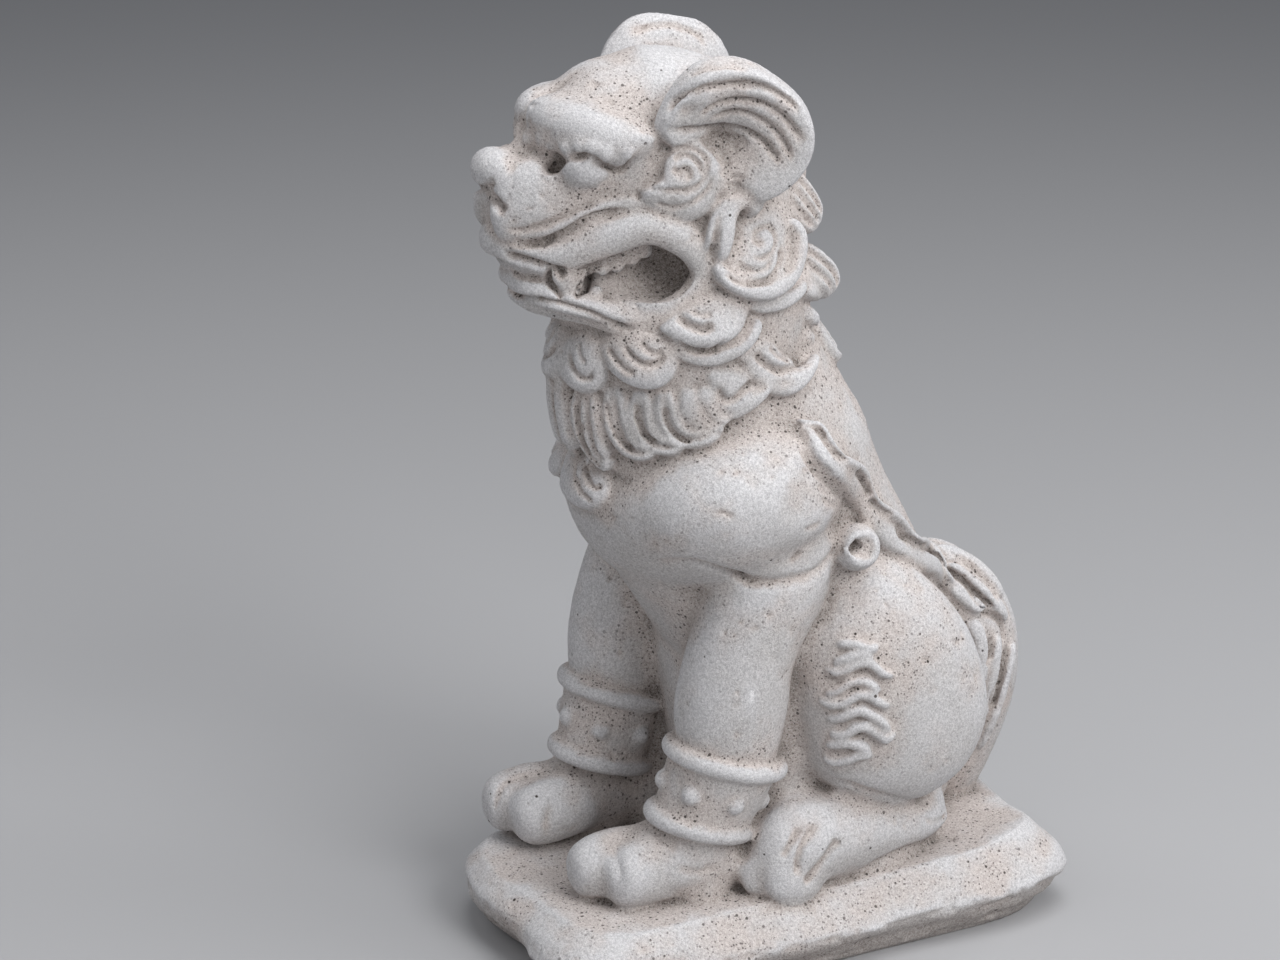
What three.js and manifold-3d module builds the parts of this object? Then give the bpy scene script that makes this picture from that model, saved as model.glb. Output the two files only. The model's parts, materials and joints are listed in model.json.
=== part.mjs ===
// A guardian lion, cast in one piece with its rock base: a garden statue of cement and sand.
// Millimetres, +Z up. The lion looks along -Y and its left side is +X.
// The origin lies in the middle of the flat underside.
import * as THREE from "three";
import { mergeVertices } from "three/addons/utils/BufferGeometryUtils.js";
import Module from "manifold-3d";

const wasm = await Module();
wasm.setup();

// Driving dimensions
const SKULL_TOP = 449;
const BASE_TOP = 39;
const BASE_RISE = 3;
const BASE_MIDDLE = 11.5;
const BASE_HALF_WIDTH = 83;
const BASE_HALF_LENGTH = 144;
const HEAD_TURN = 7;
const EAR_SPREAD = 54;
const NECK = { x: 0, y: -34, halfWidth: 58, halfDepth: 62 };
// The forelegs differ a little: where each anklet stands, how far forward and how high, how far
// the shoulder lies outside it, and the middle and half width of its paw.
const LEFT_LEG = { side: 1, x: 43, forward: 0, lift: 0, shoulder: 7, paw: 35, halfPaw: 22 };
const RIGHT_LEG = { side: -1, x: -54, forward: 10, lift: 3, shoulder: -3, paw: -53, halfPaw: 27 };

const ACROSS = new THREE.Vector3(1, 0, 0);
const UP = new THREE.Vector3(0, 0, 1);
const BACK = new THREE.Vector3(0, 1, 0);

// A closed geometry as a solid that can be joined and cut.
function solidOf(geometry) {
  const bare = new THREE.BufferGeometry();
  bare.setAttribute("position", geometry.getAttribute("position"));
  bare.setIndex(geometry.index);
  const merged = mergeVertices(bare, 1e-3);
  const mesh = new wasm.Mesh({
    numProp: 3,
    vertProperties: new Float32Array(merged.attributes.position.array),
    triVerts: new Uint32Array(merged.index.array),
  });
  return new wasm.Manifold(mesh);
}

function geometryOf(solid) {
  const { numProp, numVert, vertProperties, triVerts } = solid.getMesh();
  const positions = new Float32Array(numVert * 3);
  for (let i = 0; i < numVert; i += 1) {
    positions.set(vertProperties.subarray(i * numProp, i * numProp + 3), i * 3);
  }
  const geometry = new THREE.BufferGeometry();
  geometry.setAttribute("position", new THREE.BufferAttribute(positions, 3));
  geometry.setIndex(new THREE.BufferAttribute(triVerts, 1));
  geometry.computeVertexNormals();
  return geometry;
}

// A rounded form carried along a curve. Each station is [x, y, z, a, b]: a point of the curve with
// the half width a, measured towards `across`, and the half height b. The first and last stations
// are the tips, and `blunt` is 2 for an egg's ends and more for squarer ones.
function form(stations, { across = ACROSS, sides = 10, rings = 8, blunt = 2.4 } = {}) {
  const centre = new THREE.CatmullRomCurve3(stations.map(([x, y, z]) => new THREE.Vector3(x, y, z)));
  const size = new THREE.CatmullRomCurve3(stations.map((s) => new THREE.Vector3(s[3], s[4], 0)));
  const ball = new THREE.SphereGeometry(1, sides, rings);
  const at = ball.getAttribute("position");
  const v = new THREE.Vector3();
  for (let i = 0; i < at.count; i += 1) {
    v.fromBufferAttribute(at, i);
    const along = THREE.MathUtils.clamp((1 - v.y) / 2, 0, 1);
    const round = Math.hypot(v.x, v.z) || 1;
    const swell = Math.pow(1 - Math.pow(Math.min(1, Math.abs(v.y)), blunt), 1 / blunt);
    const tangent = centre.getTangent(along);
    const wide = across.clone().addScaledVector(tangent, -across.dot(tangent)).normalize();
    const high = tangent.clone().cross(wide);
    const half = size.getPoint(along);
    const p = centre.getPoint(along);
    p.addScaledVector(wide, (v.x / round) * half.x * swell);
    p.addScaledVector(high, (v.z / round) * half.y * swell);
    at.setXYZ(i, p.x, p.y, p.z);
  }
  return solidOf(ball);
}

// A solid with flat ends through a list of sections [x, y, z, a, b], each laid out like a station
// of `form`. A section may also scale single points: `flute(i, row)` for point i of a row.
function column(sections, { across = ACROSS, sides = 12, flute = () => 1 } = {}) {
  const centre = new THREE.CatmullRomCurve3(sections.map(([x, y, z]) => new THREE.Vector3(x, y, z)));
  const last = sections.length - 1;
  const tube = new THREE.CylinderGeometry(1, 1, 1, sides, last);
  const at = tube.getAttribute("position");
  const v = new THREE.Vector3();
  for (let i = 0; i < at.count; i += 1) {
    v.fromBufferAttribute(at, i);
    const row = Math.round((0.5 - v.y) * last);
    const [x, y, z, a, b] = sections[row];
    const tangent = centre.getTangent(row / last);
    const wide = across.clone().addScaledVector(tangent, -across.dot(tangent)).normalize();
    const high = tangent.clone().cross(wide);
    const angle = Math.atan2(v.z, v.x);
    const swell = flute(Math.round((angle / (2 * Math.PI)) * sides + sides) % sides, row);
    const p = new THREE.Vector3(x, y, z);
    p.addScaledVector(wide, v.x * a * swell).addScaledVector(high, v.z * b * swell);
    at.setXYZ(i, p.x, p.y, p.z);
  }
  return solidOf(tube);
}

// An egg with its three half sizes, turned by angles in degrees about X, Y and Z.
function egg([x, y, z], [rx, ry, rz], [tx, ty, tz] = [0, 0, 0], sides = 10, rings = 7) {
  const ball = new THREE.SphereGeometry(1, sides, rings);
  const turn = new THREE.Euler(...[tx, ty, tz].map(THREE.MathUtils.degToRad));
  ball.scale(rx, ry, rz);
  ball.applyMatrix4(new THREE.Matrix4().makeRotationFromEuler(turn));
  ball.translate(x, y, z);
  return solidOf(ball);
}

// The same form on both flanks: `make` gets 1 for the lion's left and -1 for its right.
function both(make) {
  return [1, -1].flatMap((side) => make(side));
}

// A mirrored copy of a list of stations.
function flank(side, stations) {
  return stations.map(([x, ...rest]) => [side * x, ...rest]);
}

// A lock of hair that curls up at its end: a straight stem, then an arc that tightens. The lock
// lies in the plane of `down` and `over`, and `out` lifts its end off the surface.
function curl({ root, down, over, length, eye, turn = 0.9, thick, out, lift = 0 }) {
  const points = [root];
  const middle = root.clone().addScaledVector(down, length).addScaledVector(over, eye);
  const steps = Math.round(turn * 6);
  for (let i = 0; i <= steps; i += 1) {
    const angle = (i / steps) * turn * 2 * Math.PI;
    const reach = eye * (1 - (0.55 * i) / steps);
    points.push(
      middle
        .clone()
        .addScaledVector(over, -reach * Math.cos(angle))
        .addScaledVector(down, reach * Math.sin(angle))
        .addScaledVector(out, (lift * i) / steps),
    );
  }
  const last = points.length - 1;
  return form(
    points.map((p, i) => [p.x, p.y, p.z, thick * (1 - 0.35 * (i / last)), thick * (1 - 0.35 * (i / last))]),
    { across: out, sides: 4, rings: points.length + 1, blunt: 4 },
  );
}

function rockBase() {
  const rock = new THREE.CylinderGeometry(1, 1, 1, 24, 4);
  rock.rotateX(Math.PI / 2);
  const at = rock.getAttribute("position");
  // reach and height of each level, from the flat underside to the worn upper edge
  const levels = [[0.9, 0], [0.97, 0.2], [1.0, 0.45], [0.99, 0.78], [0.95, 1]];
  for (let i = 0; i < at.count; i += 1) {
    const [x, y, z] = [at.getX(i), at.getY(i), at.getZ(i)];
    const [reach, height] = levels[Math.round((z + 0.5) * 4)];
    const angle = Math.atan2(y, x);
    const square = 6;
    const across = Math.abs(Math.cos(angle)) ** square;
    const along = Math.abs(Math.sin(angle)) ** square;
    const corner = (across + along) ** (-1 / square);
    const uneven = 1 + 0.02 * Math.sin(3 * angle + 0.6) + 0.012 * Math.sin(7 * angle + 2);
    const r = Math.hypot(x, y) * corner * uneven * reach;
    const rise = BASE_RISE * height * r * Math.sin(angle);
    at.setXYZ(
      i,
      BASE_HALF_WIDTH * r * Math.cos(angle),
      BASE_HALF_LENGTH * r * Math.sin(angle) + BASE_MIDDLE,
      BASE_TOP * height + rise,
    );
  }
  return [solidOf(rock)];
}

function torso() {
  return [
    form(
      [
        [0, 100, 32, 50, 30],
        [0, 74, 92, 60, 54],
        [0, 42, 150, 60, 66],
        [0, 8, 205, 60, 70],
        [0, -12, 250, 60, 72],
        [0, -22, 300, 54, 62],
        [0, -32, 345, 48, 50],
      ],
      { sides: 14, rings: 9, blunt: 3 },
    ),
    // the neck under the mane
    column(
      [
        [NECK.x, NECK.y, 270, NECK.halfWidth - 12, NECK.halfDepth - 14],
        [NECK.x, NECK.y, 312, NECK.halfWidth - 3, NECK.halfDepth - 3],
        [NECK.x, NECK.y + 2, 350, NECK.halfWidth - 4, NECK.halfDepth - 6],
        [NECK.x, NECK.y + 8, 392, NECK.halfWidth - 12, NECK.halfDepth - 16],
      ],
      { sides: 14 },
    ),
    // the breast, which overhangs the legs
    form(
      [
        [-72, -6, 234, 30, 28],
        [-52, -15, 238, 62, 43],
        [0, -26, 236, 66, 47],
        [52, -15, 238, 62, 43],
        [72, -6, 234, 30, 28],
      ],
      { across: BACK, sides: 14, rings: 9, blunt: 3.4 },
    ),
    // the belly wall between the legs
    form(
      [
        [-4, -10, 220, 44, 30],
        [-4, 2, 130, 54, 34],
        [-4, 12, 30, 54, 38],
      ],
      { sides: 8, rings: 6, blunt: 4 },
    ),
  ];
}

// A closed loop of the same kind of stations, for one flank: the mirrored ones close it.
function loop(stations, { sides = 5, steps = 26 } = {}) {
  const all = [...stations, ...flank(-1, stations).reverse()];
  const centre = new THREE.CatmullRomCurve3(all.map(([x, y, z]) => new THREE.Vector3(x, y, z)), true);
  const size = new THREE.CatmullRomCurve3(all.map((s) => new THREE.Vector3(s[3], s[4], 0)), true);
  const torus = new THREE.TorusGeometry(2, 1, sides, steps);
  const at = torus.getAttribute("position");
  for (let i = 0; i < at.count; i += 1) {
    const share = (i % (steps + 1)) / steps;
    const angle = (Math.floor(i / (steps + 1)) / sides) * 2 * Math.PI;
    const tangent = centre.getTangent(share % 1);
    const wide = ACROSS.clone().addScaledVector(tangent, -ACROSS.dot(tangent)).normalize();
    const high = tangent.clone().cross(wide);
    const half = size.getPoint(share % 1);
    const p = centre.getPoint(share % 1);
    p.addScaledVector(wide, half.x * Math.cos(angle)).addScaledVector(high, -half.y * Math.sin(angle));
    at.setXYZ(i, p.x, p.y, p.z);
  }
  return solidOf(torus);
}

// The front leg with its anklet, a studded band between two hoops, and the paw with three toes.
// `x` is the middle of the leg at the anklet.
function frontLeg({ x, side, forward, lift, shoulder, paw, halfPaw }) {
  const y = -36 - forward;
  // height, half width, half depth, and how far the middle lies outward and back
  const profile = [
    [226, 22, 28, 1, 36],
    [200, 28, 33, 1, 28],
    [155, 27, 29, 0.6, 13],
    [129, 25, 27, 0.3, 6],
    [125, 29, 31, 0.2, 5],
    [118, 32, 34, 0.1, 4],
    [111, 28, 30, 0, 3],
    [89, 28, 31, 0, -2],
    [84, 32, 35, -0.1, -3],
    [77, 32, 35, -0.2, -4],
    [71, 27, 30, -0.2, -5],
    [34, 25, 27, -0.3, -6],
  ];
  const studs = [-160, -115, -70, -25].map((degrees) => {
    const a = THREE.MathUtils.degToRad(degrees);
    return egg([x + 28 * Math.cos(a), y - 2 + 31 * Math.sin(a), 99 + lift], [5, 5, 6], [0, 0, 0], 5, 4);
  });
  return [
    column(
      profile.map(([z, a, b, out, back]) => [x + out * side * shoulder, y + back, z + lift, a, b]),
      { sides: 12 },
    ),
    form(
      [
        [(x + paw) / 2, y + 18, 46, 22, 14],
        [(x + paw) / 2, y - 16, 58, 27, 21],
        [paw, y - 46, 54, halfPaw, 18],
        [paw, y - 63, 46, 0.85 * halfPaw, 9],
      ],
      { sides: 8, rings: 6 },
    ),
    ...[-0.65, 0, 0.65].map((share) => {
      const toe = [paw + share * halfPaw, y - 49, 52 + lift / 2];
      return egg(toe, [0.42 * halfPaw, 18, 13], [8, 0, 16 * share], 6, 4);
    }),
    ...studs,
  ];
}

function frontLegs() {
  return [LEFT_LEG, RIGHT_LEG].flatMap((leg) => frontLeg(leg));
}

function haunches() {
  return both((side) => [
    // the thigh, from the hock up to the flank
    form(
      flank(side, [
        [52, 66, 72, 24, 32],
        [54, 62, 98, 28, 48],
        [55, 54, 130, 28, 50],
        [52, 44, 166, 26, 42],
        [42, 34, 206, 18, 26],
      ]),
      { sides: 12, rings: 8, blunt: 3 },
    ),
    // the hind foot, from heel to toes
    form(
      flank(side, [
        [38, 94, 60, 9, 10],
        [45, 62, 62, 14, 14],
        [54, 22, 62, 20, 20],
        [58, -4, 60, 20, 24],
        [57, -29, 50, 15, 11],
      ]),
      { sides: 8, rings: 8 },
    ),
    form(
      flank(side, [
        [36, 95, 42, 16, 14],
        [46, 40, 48, 22, 24],
        [54, 0, 42, 16, 12],
      ]),
      { sides: 6, rings: 5 },
    ),
    // the tuft of hair down the front of the thigh
    form(
      flank(side, [
        [68, 12, 176, 5, 12],
        [74, 16, 142, 6, 19],
        [72, 18, 100, 4, 14],
      ]),
      { sides: 6, rings: 6 },
    ),
  ]);
}

function skull() {
  return [
    form(
      [
        [0, 28, 378, 30, 26],
        [0, 2, 396, 46, 43],
        [0, -38, SKULL_TOP - 48, 50, 48],
        [0, -70, SKULL_TOP - 44, 45, 42],
        [0, -94, SKULL_TOP - 37, 34, 26],
        [0, -112, SKULL_TOP - 28, 22, 13],
      ],
      { sides: 12, rings: 9, blunt: 2.6 },
    ),
    // muzzle, nose and nostril wings
    form(
      [
        [0, -50, 388, 40, 24],
        [0, -92, 386, 30, 26],
        [0, -120, 386, 19, 21],
        [0, -138, 386, 12, 14],
      ],
      { sides: 8, rings: 6, blunt: 3 },
    ),
    form(
      [
        [-19, -119, 390, 7, 7],
        [-12, -124, 391, 10, 9],
        [-6, -127, 396, 11, 11],
        [6, -127, 396, 11, 11],
        [12, -124, 391, 10, 9],
        [19, -119, 390, 7, 7],
      ],
      { across: BACK, sides: 7, rings: 9 },
    ),
    // the back of the mouth, and the chin
    form(
      [
        [0, -40, 356, 36, 24],
        [0, -78, 356, 27, 20],
        [0, -112, 356, 12, 12],
      ],
      { sides: 7, rings: 4, blunt: 3 },
    ),
    form(
      [
        [0, -44, 336, 44, 18],
        [0, -74, 332, 35, 14],
        [0, -112, 338, 18, 11],
      ],
      { sides: 7, rings: 5, blunt: 3.4 },
    ),
  ];
}

// The upper lip runs back to the corner of the mouth and returns as the lower lip.
function lips() {
  const mouth = loop([
    [0, -137, 374, 7, 8],
    [14, -130, 370, 7, 8],
    [25, -109, 369, 7, 9],
    [34, -84, 378, 8, 10],
    [42, -62, 380, 8, 10],
    [47, -45, 368, 8, 9],
    [47, -39, 352, 8, 9],
    [43, -52, 337, 8, 9],
    [34, -78, 333, 8, 9],
    [22, -100, 337, 7, 8],
    [10, -117, 344, 7, 8],
    [0, -121, 346, 7, 8],
  ]);
  const fangs = both((side) => [
    form(
      flank(side, [
        [24, -102, 366, 4, 5],
        [25, -101, 352, 5, 6],
        [25, -100, 341, 2, 2],
      ]),
      { sides: 5, rings: 4 },
    ),
  ]);
  return [mouth, ...fangs];
}

function brows() {
  const arch = [
    [43, -76, 414, 6, 6],
    [37, -86, 411, 9, 8],
    [26, -99, 416, 10, 9],
    [12, -108, 421, 10, 10],
  ];
  const ridge = form([...arch, [0, -110, 424, 9, 9], ...flank(-1, arch).reverse()], {
    across: UP,
    sides: 6,
    rings: 12,
  });
  const eyesAndScrolls = both((side) => [
    egg([side * 31, -93, 402], [11, 11, 11], [0, 0, 0], 6, 5),
    // the scroll on the cheek
    curl({
      root: new THREE.Vector3(side * 44, -71, 396),
      down: new THREE.Vector3(side * 0.15, 0.95, -0.2).normalize(),
      over: new THREE.Vector3(0, 0.2, 0.98).normalize(),
      out: new THREE.Vector3(side, 0, 0),
      length: 22,
      eye: 12,
      thick: 7,
      lift: 3,
    }),
  ]);
  return [ridge, ...eyesAndScrolls];
}

function ears() {
  return both((side) => [
    form(
      flank(side, [
        [EAR_SPREAD - 8, -68, 420, 6, 7],
        [EAR_SPREAD - 4, -57, 435, 9, 9],
        [EAR_SPREAD, -34, 441, 11, 11],
        [EAR_SPREAD, -10, 432, 12, 14],
        [EAR_SPREAD, -4, 414, 11, 16],
        [EAR_SPREAD - 2, -14, 397, 9, 13],
        [EAR_SPREAD - 4, -28, 385, 6, 8],
      ]),
      { sides: 6, rings: 10, blunt: 4 },
    ),
    egg([side * (EAR_SPREAD - 12), -32, 414], [10, 33, 26], [0, 0, 0], 7, 5),
    // the lobe
    form(
      flank(side, [
        [48, -24, 384, 5, 5],
        [52, -34, 384, 6, 6],
        [52, -42, 368, 6, 6],
        [51, -46, 356, 4, 4],
      ]),
      { sides: 5, rings: 5 },
    ),
  ]);
}

// The head looks a few degrees to the lion's right, so it is made straight and turned about the neck.
function head() {
  const toNeck = [-NECK.x, -NECK.y, 0];
  const back = [NECK.x, NECK.y, 0];
  return [...skull(), ...lips(), ...brows(), ...ears()].map((piece) =>
    piece.translate(toNeck).rotate([0, 0, -HEAD_TURN]).translate(back),
  );
}

// A point on the neck at an angle from the front, with the outward direction there.
function onNeck(degrees, z, swell = 0) {
  const a = THREE.MathUtils.degToRad(degrees);
  const point = new THREE.Vector3(
    NECK.x + (NECK.halfWidth + swell) * Math.sin(a),
    NECK.y - (NECK.halfDepth + swell) * Math.cos(a),
    z,
  );
  const out = new THREE.Vector3(
    Math.sin(a) / NECK.halfWidth,
    -Math.cos(a) / NECK.halfDepth,
    0,
  ).normalize();
  const round = new THREE.Vector3(-out.y, out.x, 0);
  return { point, out, round };
}

// The mane: rows of curls from the jaw to the back of the neck, long locks under them and a pair
// of curls that hang on the breast. Each row lists [degrees from the front, height, eye, thickness].
function mane() {
  const rows = [
    [9, 314, 7.5, 7],
    [31, 312, 8.5, 7.5],
    [52, 318, 8.5, 7.5],
    [74, 330, 12, 9],
    [96, 361, 15, 11],
    [126, 340, 11, 9],
    [154, 362, 11, 9],
    [104, 320, 9, 8],
    [132, 310, 9, 8],
    [160, 324, 10, 9],
  ];
  const curls = both((side) =>
    rows.map(([degrees, z, eye, thick]) => {
      const { point, out, round } = onNeck(side * degrees, z, -3);
      return curl({
        root: point.addScaledVector(UP, eye),
        down: UP.clone().negate(),
        over: round.multiplyScalar(side),
        out,
        length: eye,
        eye,
        thick,
        lift: 3,
      });
    }),
  );
  // the long locks under the curls, side by side
  const locks = column(
    [
      [NECK.x, NECK.y, 318, NECK.halfWidth - 8, NECK.halfDepth - 8],
      [NECK.x, NECK.y, 300, NECK.halfWidth + 1, NECK.halfDepth + 1],
      [NECK.x, NECK.y, 284, NECK.halfWidth + 4, NECK.halfDepth + 2],
      [NECK.x, NECK.y + 4, 264, NECK.halfWidth - 4, NECK.halfDepth - 6],
    ],
    { sides: 28, flute: (i, row) => (i % 2 === 0 || row === 0 ? 1 : 0.88) },
  );
  const pendants = both((side) => [
    curl({
      root: new THREE.Vector3(side * 4, -89, 264),
      down: new THREE.Vector3(0, -0.1, -1).normalize(),
      over: new THREE.Vector3(side, 0.25, 0).normalize(),
      out: new THREE.Vector3(0, -1, 0),
      length: 18,
      eye: 8,
      thick: 6,
    }),
  ]);
  return [...curls, locks, ...pendants];
}

// A cord with a waved edge runs down each side of the back, and a pierced boss sits at its head.
function backCords() {
  return both((side) => {
    const boss = new THREE.LatheGeometry(
      [[0, -8], [9, -8], [10, 4], [7.5, 7], [3.5, 7.5], [2.5, 2], [0, 2]].map(
        ([r, h]) => new THREE.Vector2(r, h),
      ),
      12,
    );
    boss.rotateZ((-side * Math.PI) / 2);
    boss.translate(side * 62, 27, 212);
    return [
      solidOf(boss),
      form(
        flank(side, [
          [46, -4, 300, 6, 5],
          [50, 22, 270, 8, 7],
          [47, 46, 234, 9, 8],
          [38, 70, 204, 9, 8],
          [27, 92, 182, 8, 8],
        ]),
        { sides: 6, rings: 7, blunt: 4 },
      ),
    ];
  });
}

function tail() {
  return [
    form(
      [
        [0, 122, 30, 16, 22],
        [0, 126, 60, 20, 25],
        [0, 132, 96, 25, 32],
        [0, 130, 130, 26, 35],
        [0, 112, 160, 22, 30],
        [0, 104, 184, 10, 12],
      ],
      { sides: 10, rings: 10 },
    ),
  ];
}

const parts = [
  rockBase(),
  torso(),
  frontLegs(),
  haunches(),
  head(),
  mane(),
  backCords(),
  tail(),
].flat();
const joined = parts.reduce((whole, piece) => whole.add(piece)).simplify(1.2);
// pockets closed in between curls are filled
const lion = joined
  .decompose()
  .filter((body) => body.volume() > 0)
  .reduce((whole, body) => whole.add(body));

const cement = new THREE.MeshStandardMaterial({ color: 0xb9b3ad, roughness: 0.95, metalness: 0 });
const statue = new THREE.Mesh(geometryOf(lion), cement);
statue.name = "guardian_lion";

const group = new THREE.Group();
group.add(statue);
export default group;
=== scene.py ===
# %% [markdown]
# # A guardian lion, cast in cement
# The real object is one solid casting: a mould is filled with cement and sand, opened, and the lion
# comes out in one piece with the rock it sits on. So the model is one piece too. It is made as a
# modeller would make the pattern for the mould: rough lumps of clay first, joined and smoothed,
# then the mane, ears and lips laid on, then lines cut with a tool, and last the flaws of the cast.
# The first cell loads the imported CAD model, which fixes the size and place of everything.

# %% The frame
import json
import math

import bpy
import numpy as np
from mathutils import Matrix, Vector
from mathutils.bvhtree import BVHTree

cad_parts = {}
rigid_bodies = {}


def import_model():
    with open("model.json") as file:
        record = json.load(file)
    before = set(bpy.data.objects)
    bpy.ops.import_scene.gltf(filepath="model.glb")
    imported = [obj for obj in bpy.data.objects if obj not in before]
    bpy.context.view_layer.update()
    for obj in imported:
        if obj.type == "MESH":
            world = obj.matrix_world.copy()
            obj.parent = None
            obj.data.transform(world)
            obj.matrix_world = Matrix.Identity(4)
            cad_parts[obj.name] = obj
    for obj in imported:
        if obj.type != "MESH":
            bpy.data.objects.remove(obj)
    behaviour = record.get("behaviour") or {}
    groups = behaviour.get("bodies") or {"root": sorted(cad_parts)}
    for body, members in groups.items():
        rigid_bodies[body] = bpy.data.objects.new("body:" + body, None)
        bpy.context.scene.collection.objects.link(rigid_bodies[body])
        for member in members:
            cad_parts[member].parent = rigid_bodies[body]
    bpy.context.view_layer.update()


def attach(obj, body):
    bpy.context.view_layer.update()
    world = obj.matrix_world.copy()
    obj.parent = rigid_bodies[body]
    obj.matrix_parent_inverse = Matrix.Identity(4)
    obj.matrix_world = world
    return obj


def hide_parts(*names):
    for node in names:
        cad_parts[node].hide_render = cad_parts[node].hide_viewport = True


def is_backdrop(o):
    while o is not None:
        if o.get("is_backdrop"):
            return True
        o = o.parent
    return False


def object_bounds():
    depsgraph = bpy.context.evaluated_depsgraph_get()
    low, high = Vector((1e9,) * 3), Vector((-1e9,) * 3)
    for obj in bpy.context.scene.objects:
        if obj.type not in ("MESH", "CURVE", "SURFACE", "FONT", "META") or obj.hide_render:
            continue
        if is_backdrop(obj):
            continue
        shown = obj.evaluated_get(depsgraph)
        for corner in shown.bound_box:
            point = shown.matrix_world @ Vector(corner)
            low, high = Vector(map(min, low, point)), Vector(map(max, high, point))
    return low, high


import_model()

# %% [markdown]
# ## The camera
# The statue is seen from its left front and a little from above. A long lens far away keeps the
# proportions quiet. The camera comes first, because many lines of the carving are placed by where
# they are seen: `seen` sends a ray through a place of the 1280 x 960 view and returns the point of
# the clay that it meets. All lengths in this script are millimetres until a mesh is made.

# %% Camera
MM = 0.001
VIEW_SIZE = np.array([1280, 960])
CAMERA_AZIMUTH, CAMERA_HEIGHT_ANGLE = math.radians(63), math.radians(18.5)
CAMERA_AIM = np.array([-22.0, -46.0, 232.0])
CAMERA_DISTANCE = 1480
LENS, SENSOR = 85, 36

backwards = np.array([
    math.sin(CAMERA_AZIMUTH) * math.cos(CAMERA_HEIGHT_ANGLE),
    -math.cos(CAMERA_AZIMUTH) * math.cos(CAMERA_HEIGHT_ANGLE),
    math.sin(CAMERA_HEIGHT_ANGLE),
])
rightwards = np.array([math.cos(CAMERA_AZIMUTH), math.sin(CAMERA_AZIMUTH), 0])
upwards = np.cross(backwards, rightwards)
eye_point = CAMERA_AIM + backwards * CAMERA_DISTANCE


def added(name, data):
    """A new object in the scene."""
    made = bpy.data.objects.new(name, data)
    bpy.context.scene.collection.objects.link(made)
    return made


camera_data = bpy.data.cameras.new("camera")
camera_data.lens, camera_data.sensor_width = LENS, SENSOR
camera = added("camera", camera_data)
camera.location = Vector(eye_point * MM)
camera.rotation_euler = Vector(-backwards).to_track_quat("-Z", "Y").to_euler()
bpy.context.scene.camera = camera
print("camera at", eye_point.round(), "mm")

# %% [markdown]
# ## The modeller's tools
# Every lump is a grid of points: rows along a path, and points around each row. `through` draws the
# path, `carried` puts an ellipse on it, and `form`, `column`, `loop` and `egg` are the four ways in
# which a lump begins and ends. Whole arrays are worked out at once.

# %% Curves
ACROSS, BACK, UP = np.eye(3)


def through(points, shares, closed=False):
    """Catmull-Rom curve: between two rows each number follows the cubic whose slope at a row is
    half the step from the row before it to the row after it."""
    p = np.asarray(points, float)
    if closed:
        p = np.vstack([p[-1:], p, p[:2]])
    else:
        p = np.vstack([2 * p[:1] - p[1:2], p, 2 * p[-1:] - p[-2:-1]])
    t = np.asarray(shares, float) * (len(p) - 3)
    i = np.clip(t.astype(int), 0, len(p) - 4)
    f = (t - i)[..., None]
    a, b, c, d = p[i], p[i + 1], p[i + 2], p[i + 3]
    square = (2 * a - 5 * b + 4 * c - d) * f**2
    return (2 * b + (c - a) * f + square + (3 * b - a - 3 * c + d) * f**3) / 2


def unit(v):
    """Vectors divided by their lengths."""
    return v / np.maximum(np.linalg.norm(v, axis=-1, keepdims=True), 1e-9)


print("the curve through 0, 1 and 4, a quarter of the way:", through([[0], [1], [4]], [0.25])[0])

# %% Lumps
def carried(centre, half, across, around, closed=False):
    """Ellipses on a path: centre + wide * a * cos(t) + high * b * sin(t), where wide is `across`
    made square to the path, and high is square to both."""
    if closed:
        tangent = unit(np.roll(centre, -1, 0) - np.roll(centre, 1, 0))
    else:
        tangent = unit(np.gradient(centre, axis=0))
    wide = unit(across - tangent * np.sum(tangent * across, -1, keepdims=True))
    high = np.cross(tangent, wide)
    t = np.linspace(0, 2 * np.pi, around, endpoint=False)
    a, b = half[:, :1] * np.cos(t), half[:, 1:] * np.sin(t)
    return centre[:, None] + wide[:, None] * a[..., None] + high[:, None] * b[..., None]


def form(stations, across=ACROSS, around=40, along=40, blunt=2.4):
    """A rounded lump through stations [x, y, z, a, b]. Its section shrinks to the tips by
    (1 - |c| ** blunt) ** (1 / blunt), where c runs from 1 at one tip to -1 at the other."""
    c = np.cos(np.linspace(0, np.pi, along))
    at = through(stations, (1 - c) / 2)
    swell = (1 - np.abs(c) ** blunt).clip(0) ** (1 / blunt)
    return carried(at[:, :3], at[:, 3:] * swell[:, None], across, around)


def column(sections, across=ACROSS, around=48, rows=60):
    """A lump with flat ends through sections [x, y, z, a, b]."""
    at = through(sections, np.linspace(0, 1, rows))
    return carried(at[:, :3], at[:, 3:], across, around)


def loop(stations, across=ACROSS, around=20, steps=160):
    """A closed ring of sections [x, y, z, a, b]."""
    at = through(stations, np.arange(steps) / steps, closed=True)
    return carried(at[:, :3], at[:, 3:], across, around, closed=True)


def egg(centre, radii, around=24, along=16):
    """A ball (sin u cos v, sin u sin v, cos u) times three radii, moved to its centre."""
    u, v = np.linspace(0, np.pi, along)[:, None], np.arange(around) / around * 2 * np.pi
    ball = np.stack([np.sin(u) * np.cos(v), np.sin(u) * np.sin(v), np.cos(u) + 0 * v], -1)
    return ball * radii + np.asarray(centre, float)


def flank(side, stations):
    """The same stations on the lion's left (side 1) or its right (side -1)."""
    at = np.array(stations, float)
    at[:, 0] *= side
    return at


print("an egg is a grid of", egg([0, 0, 0], [1, 1, 1]).shape[:2], "points")

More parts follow.
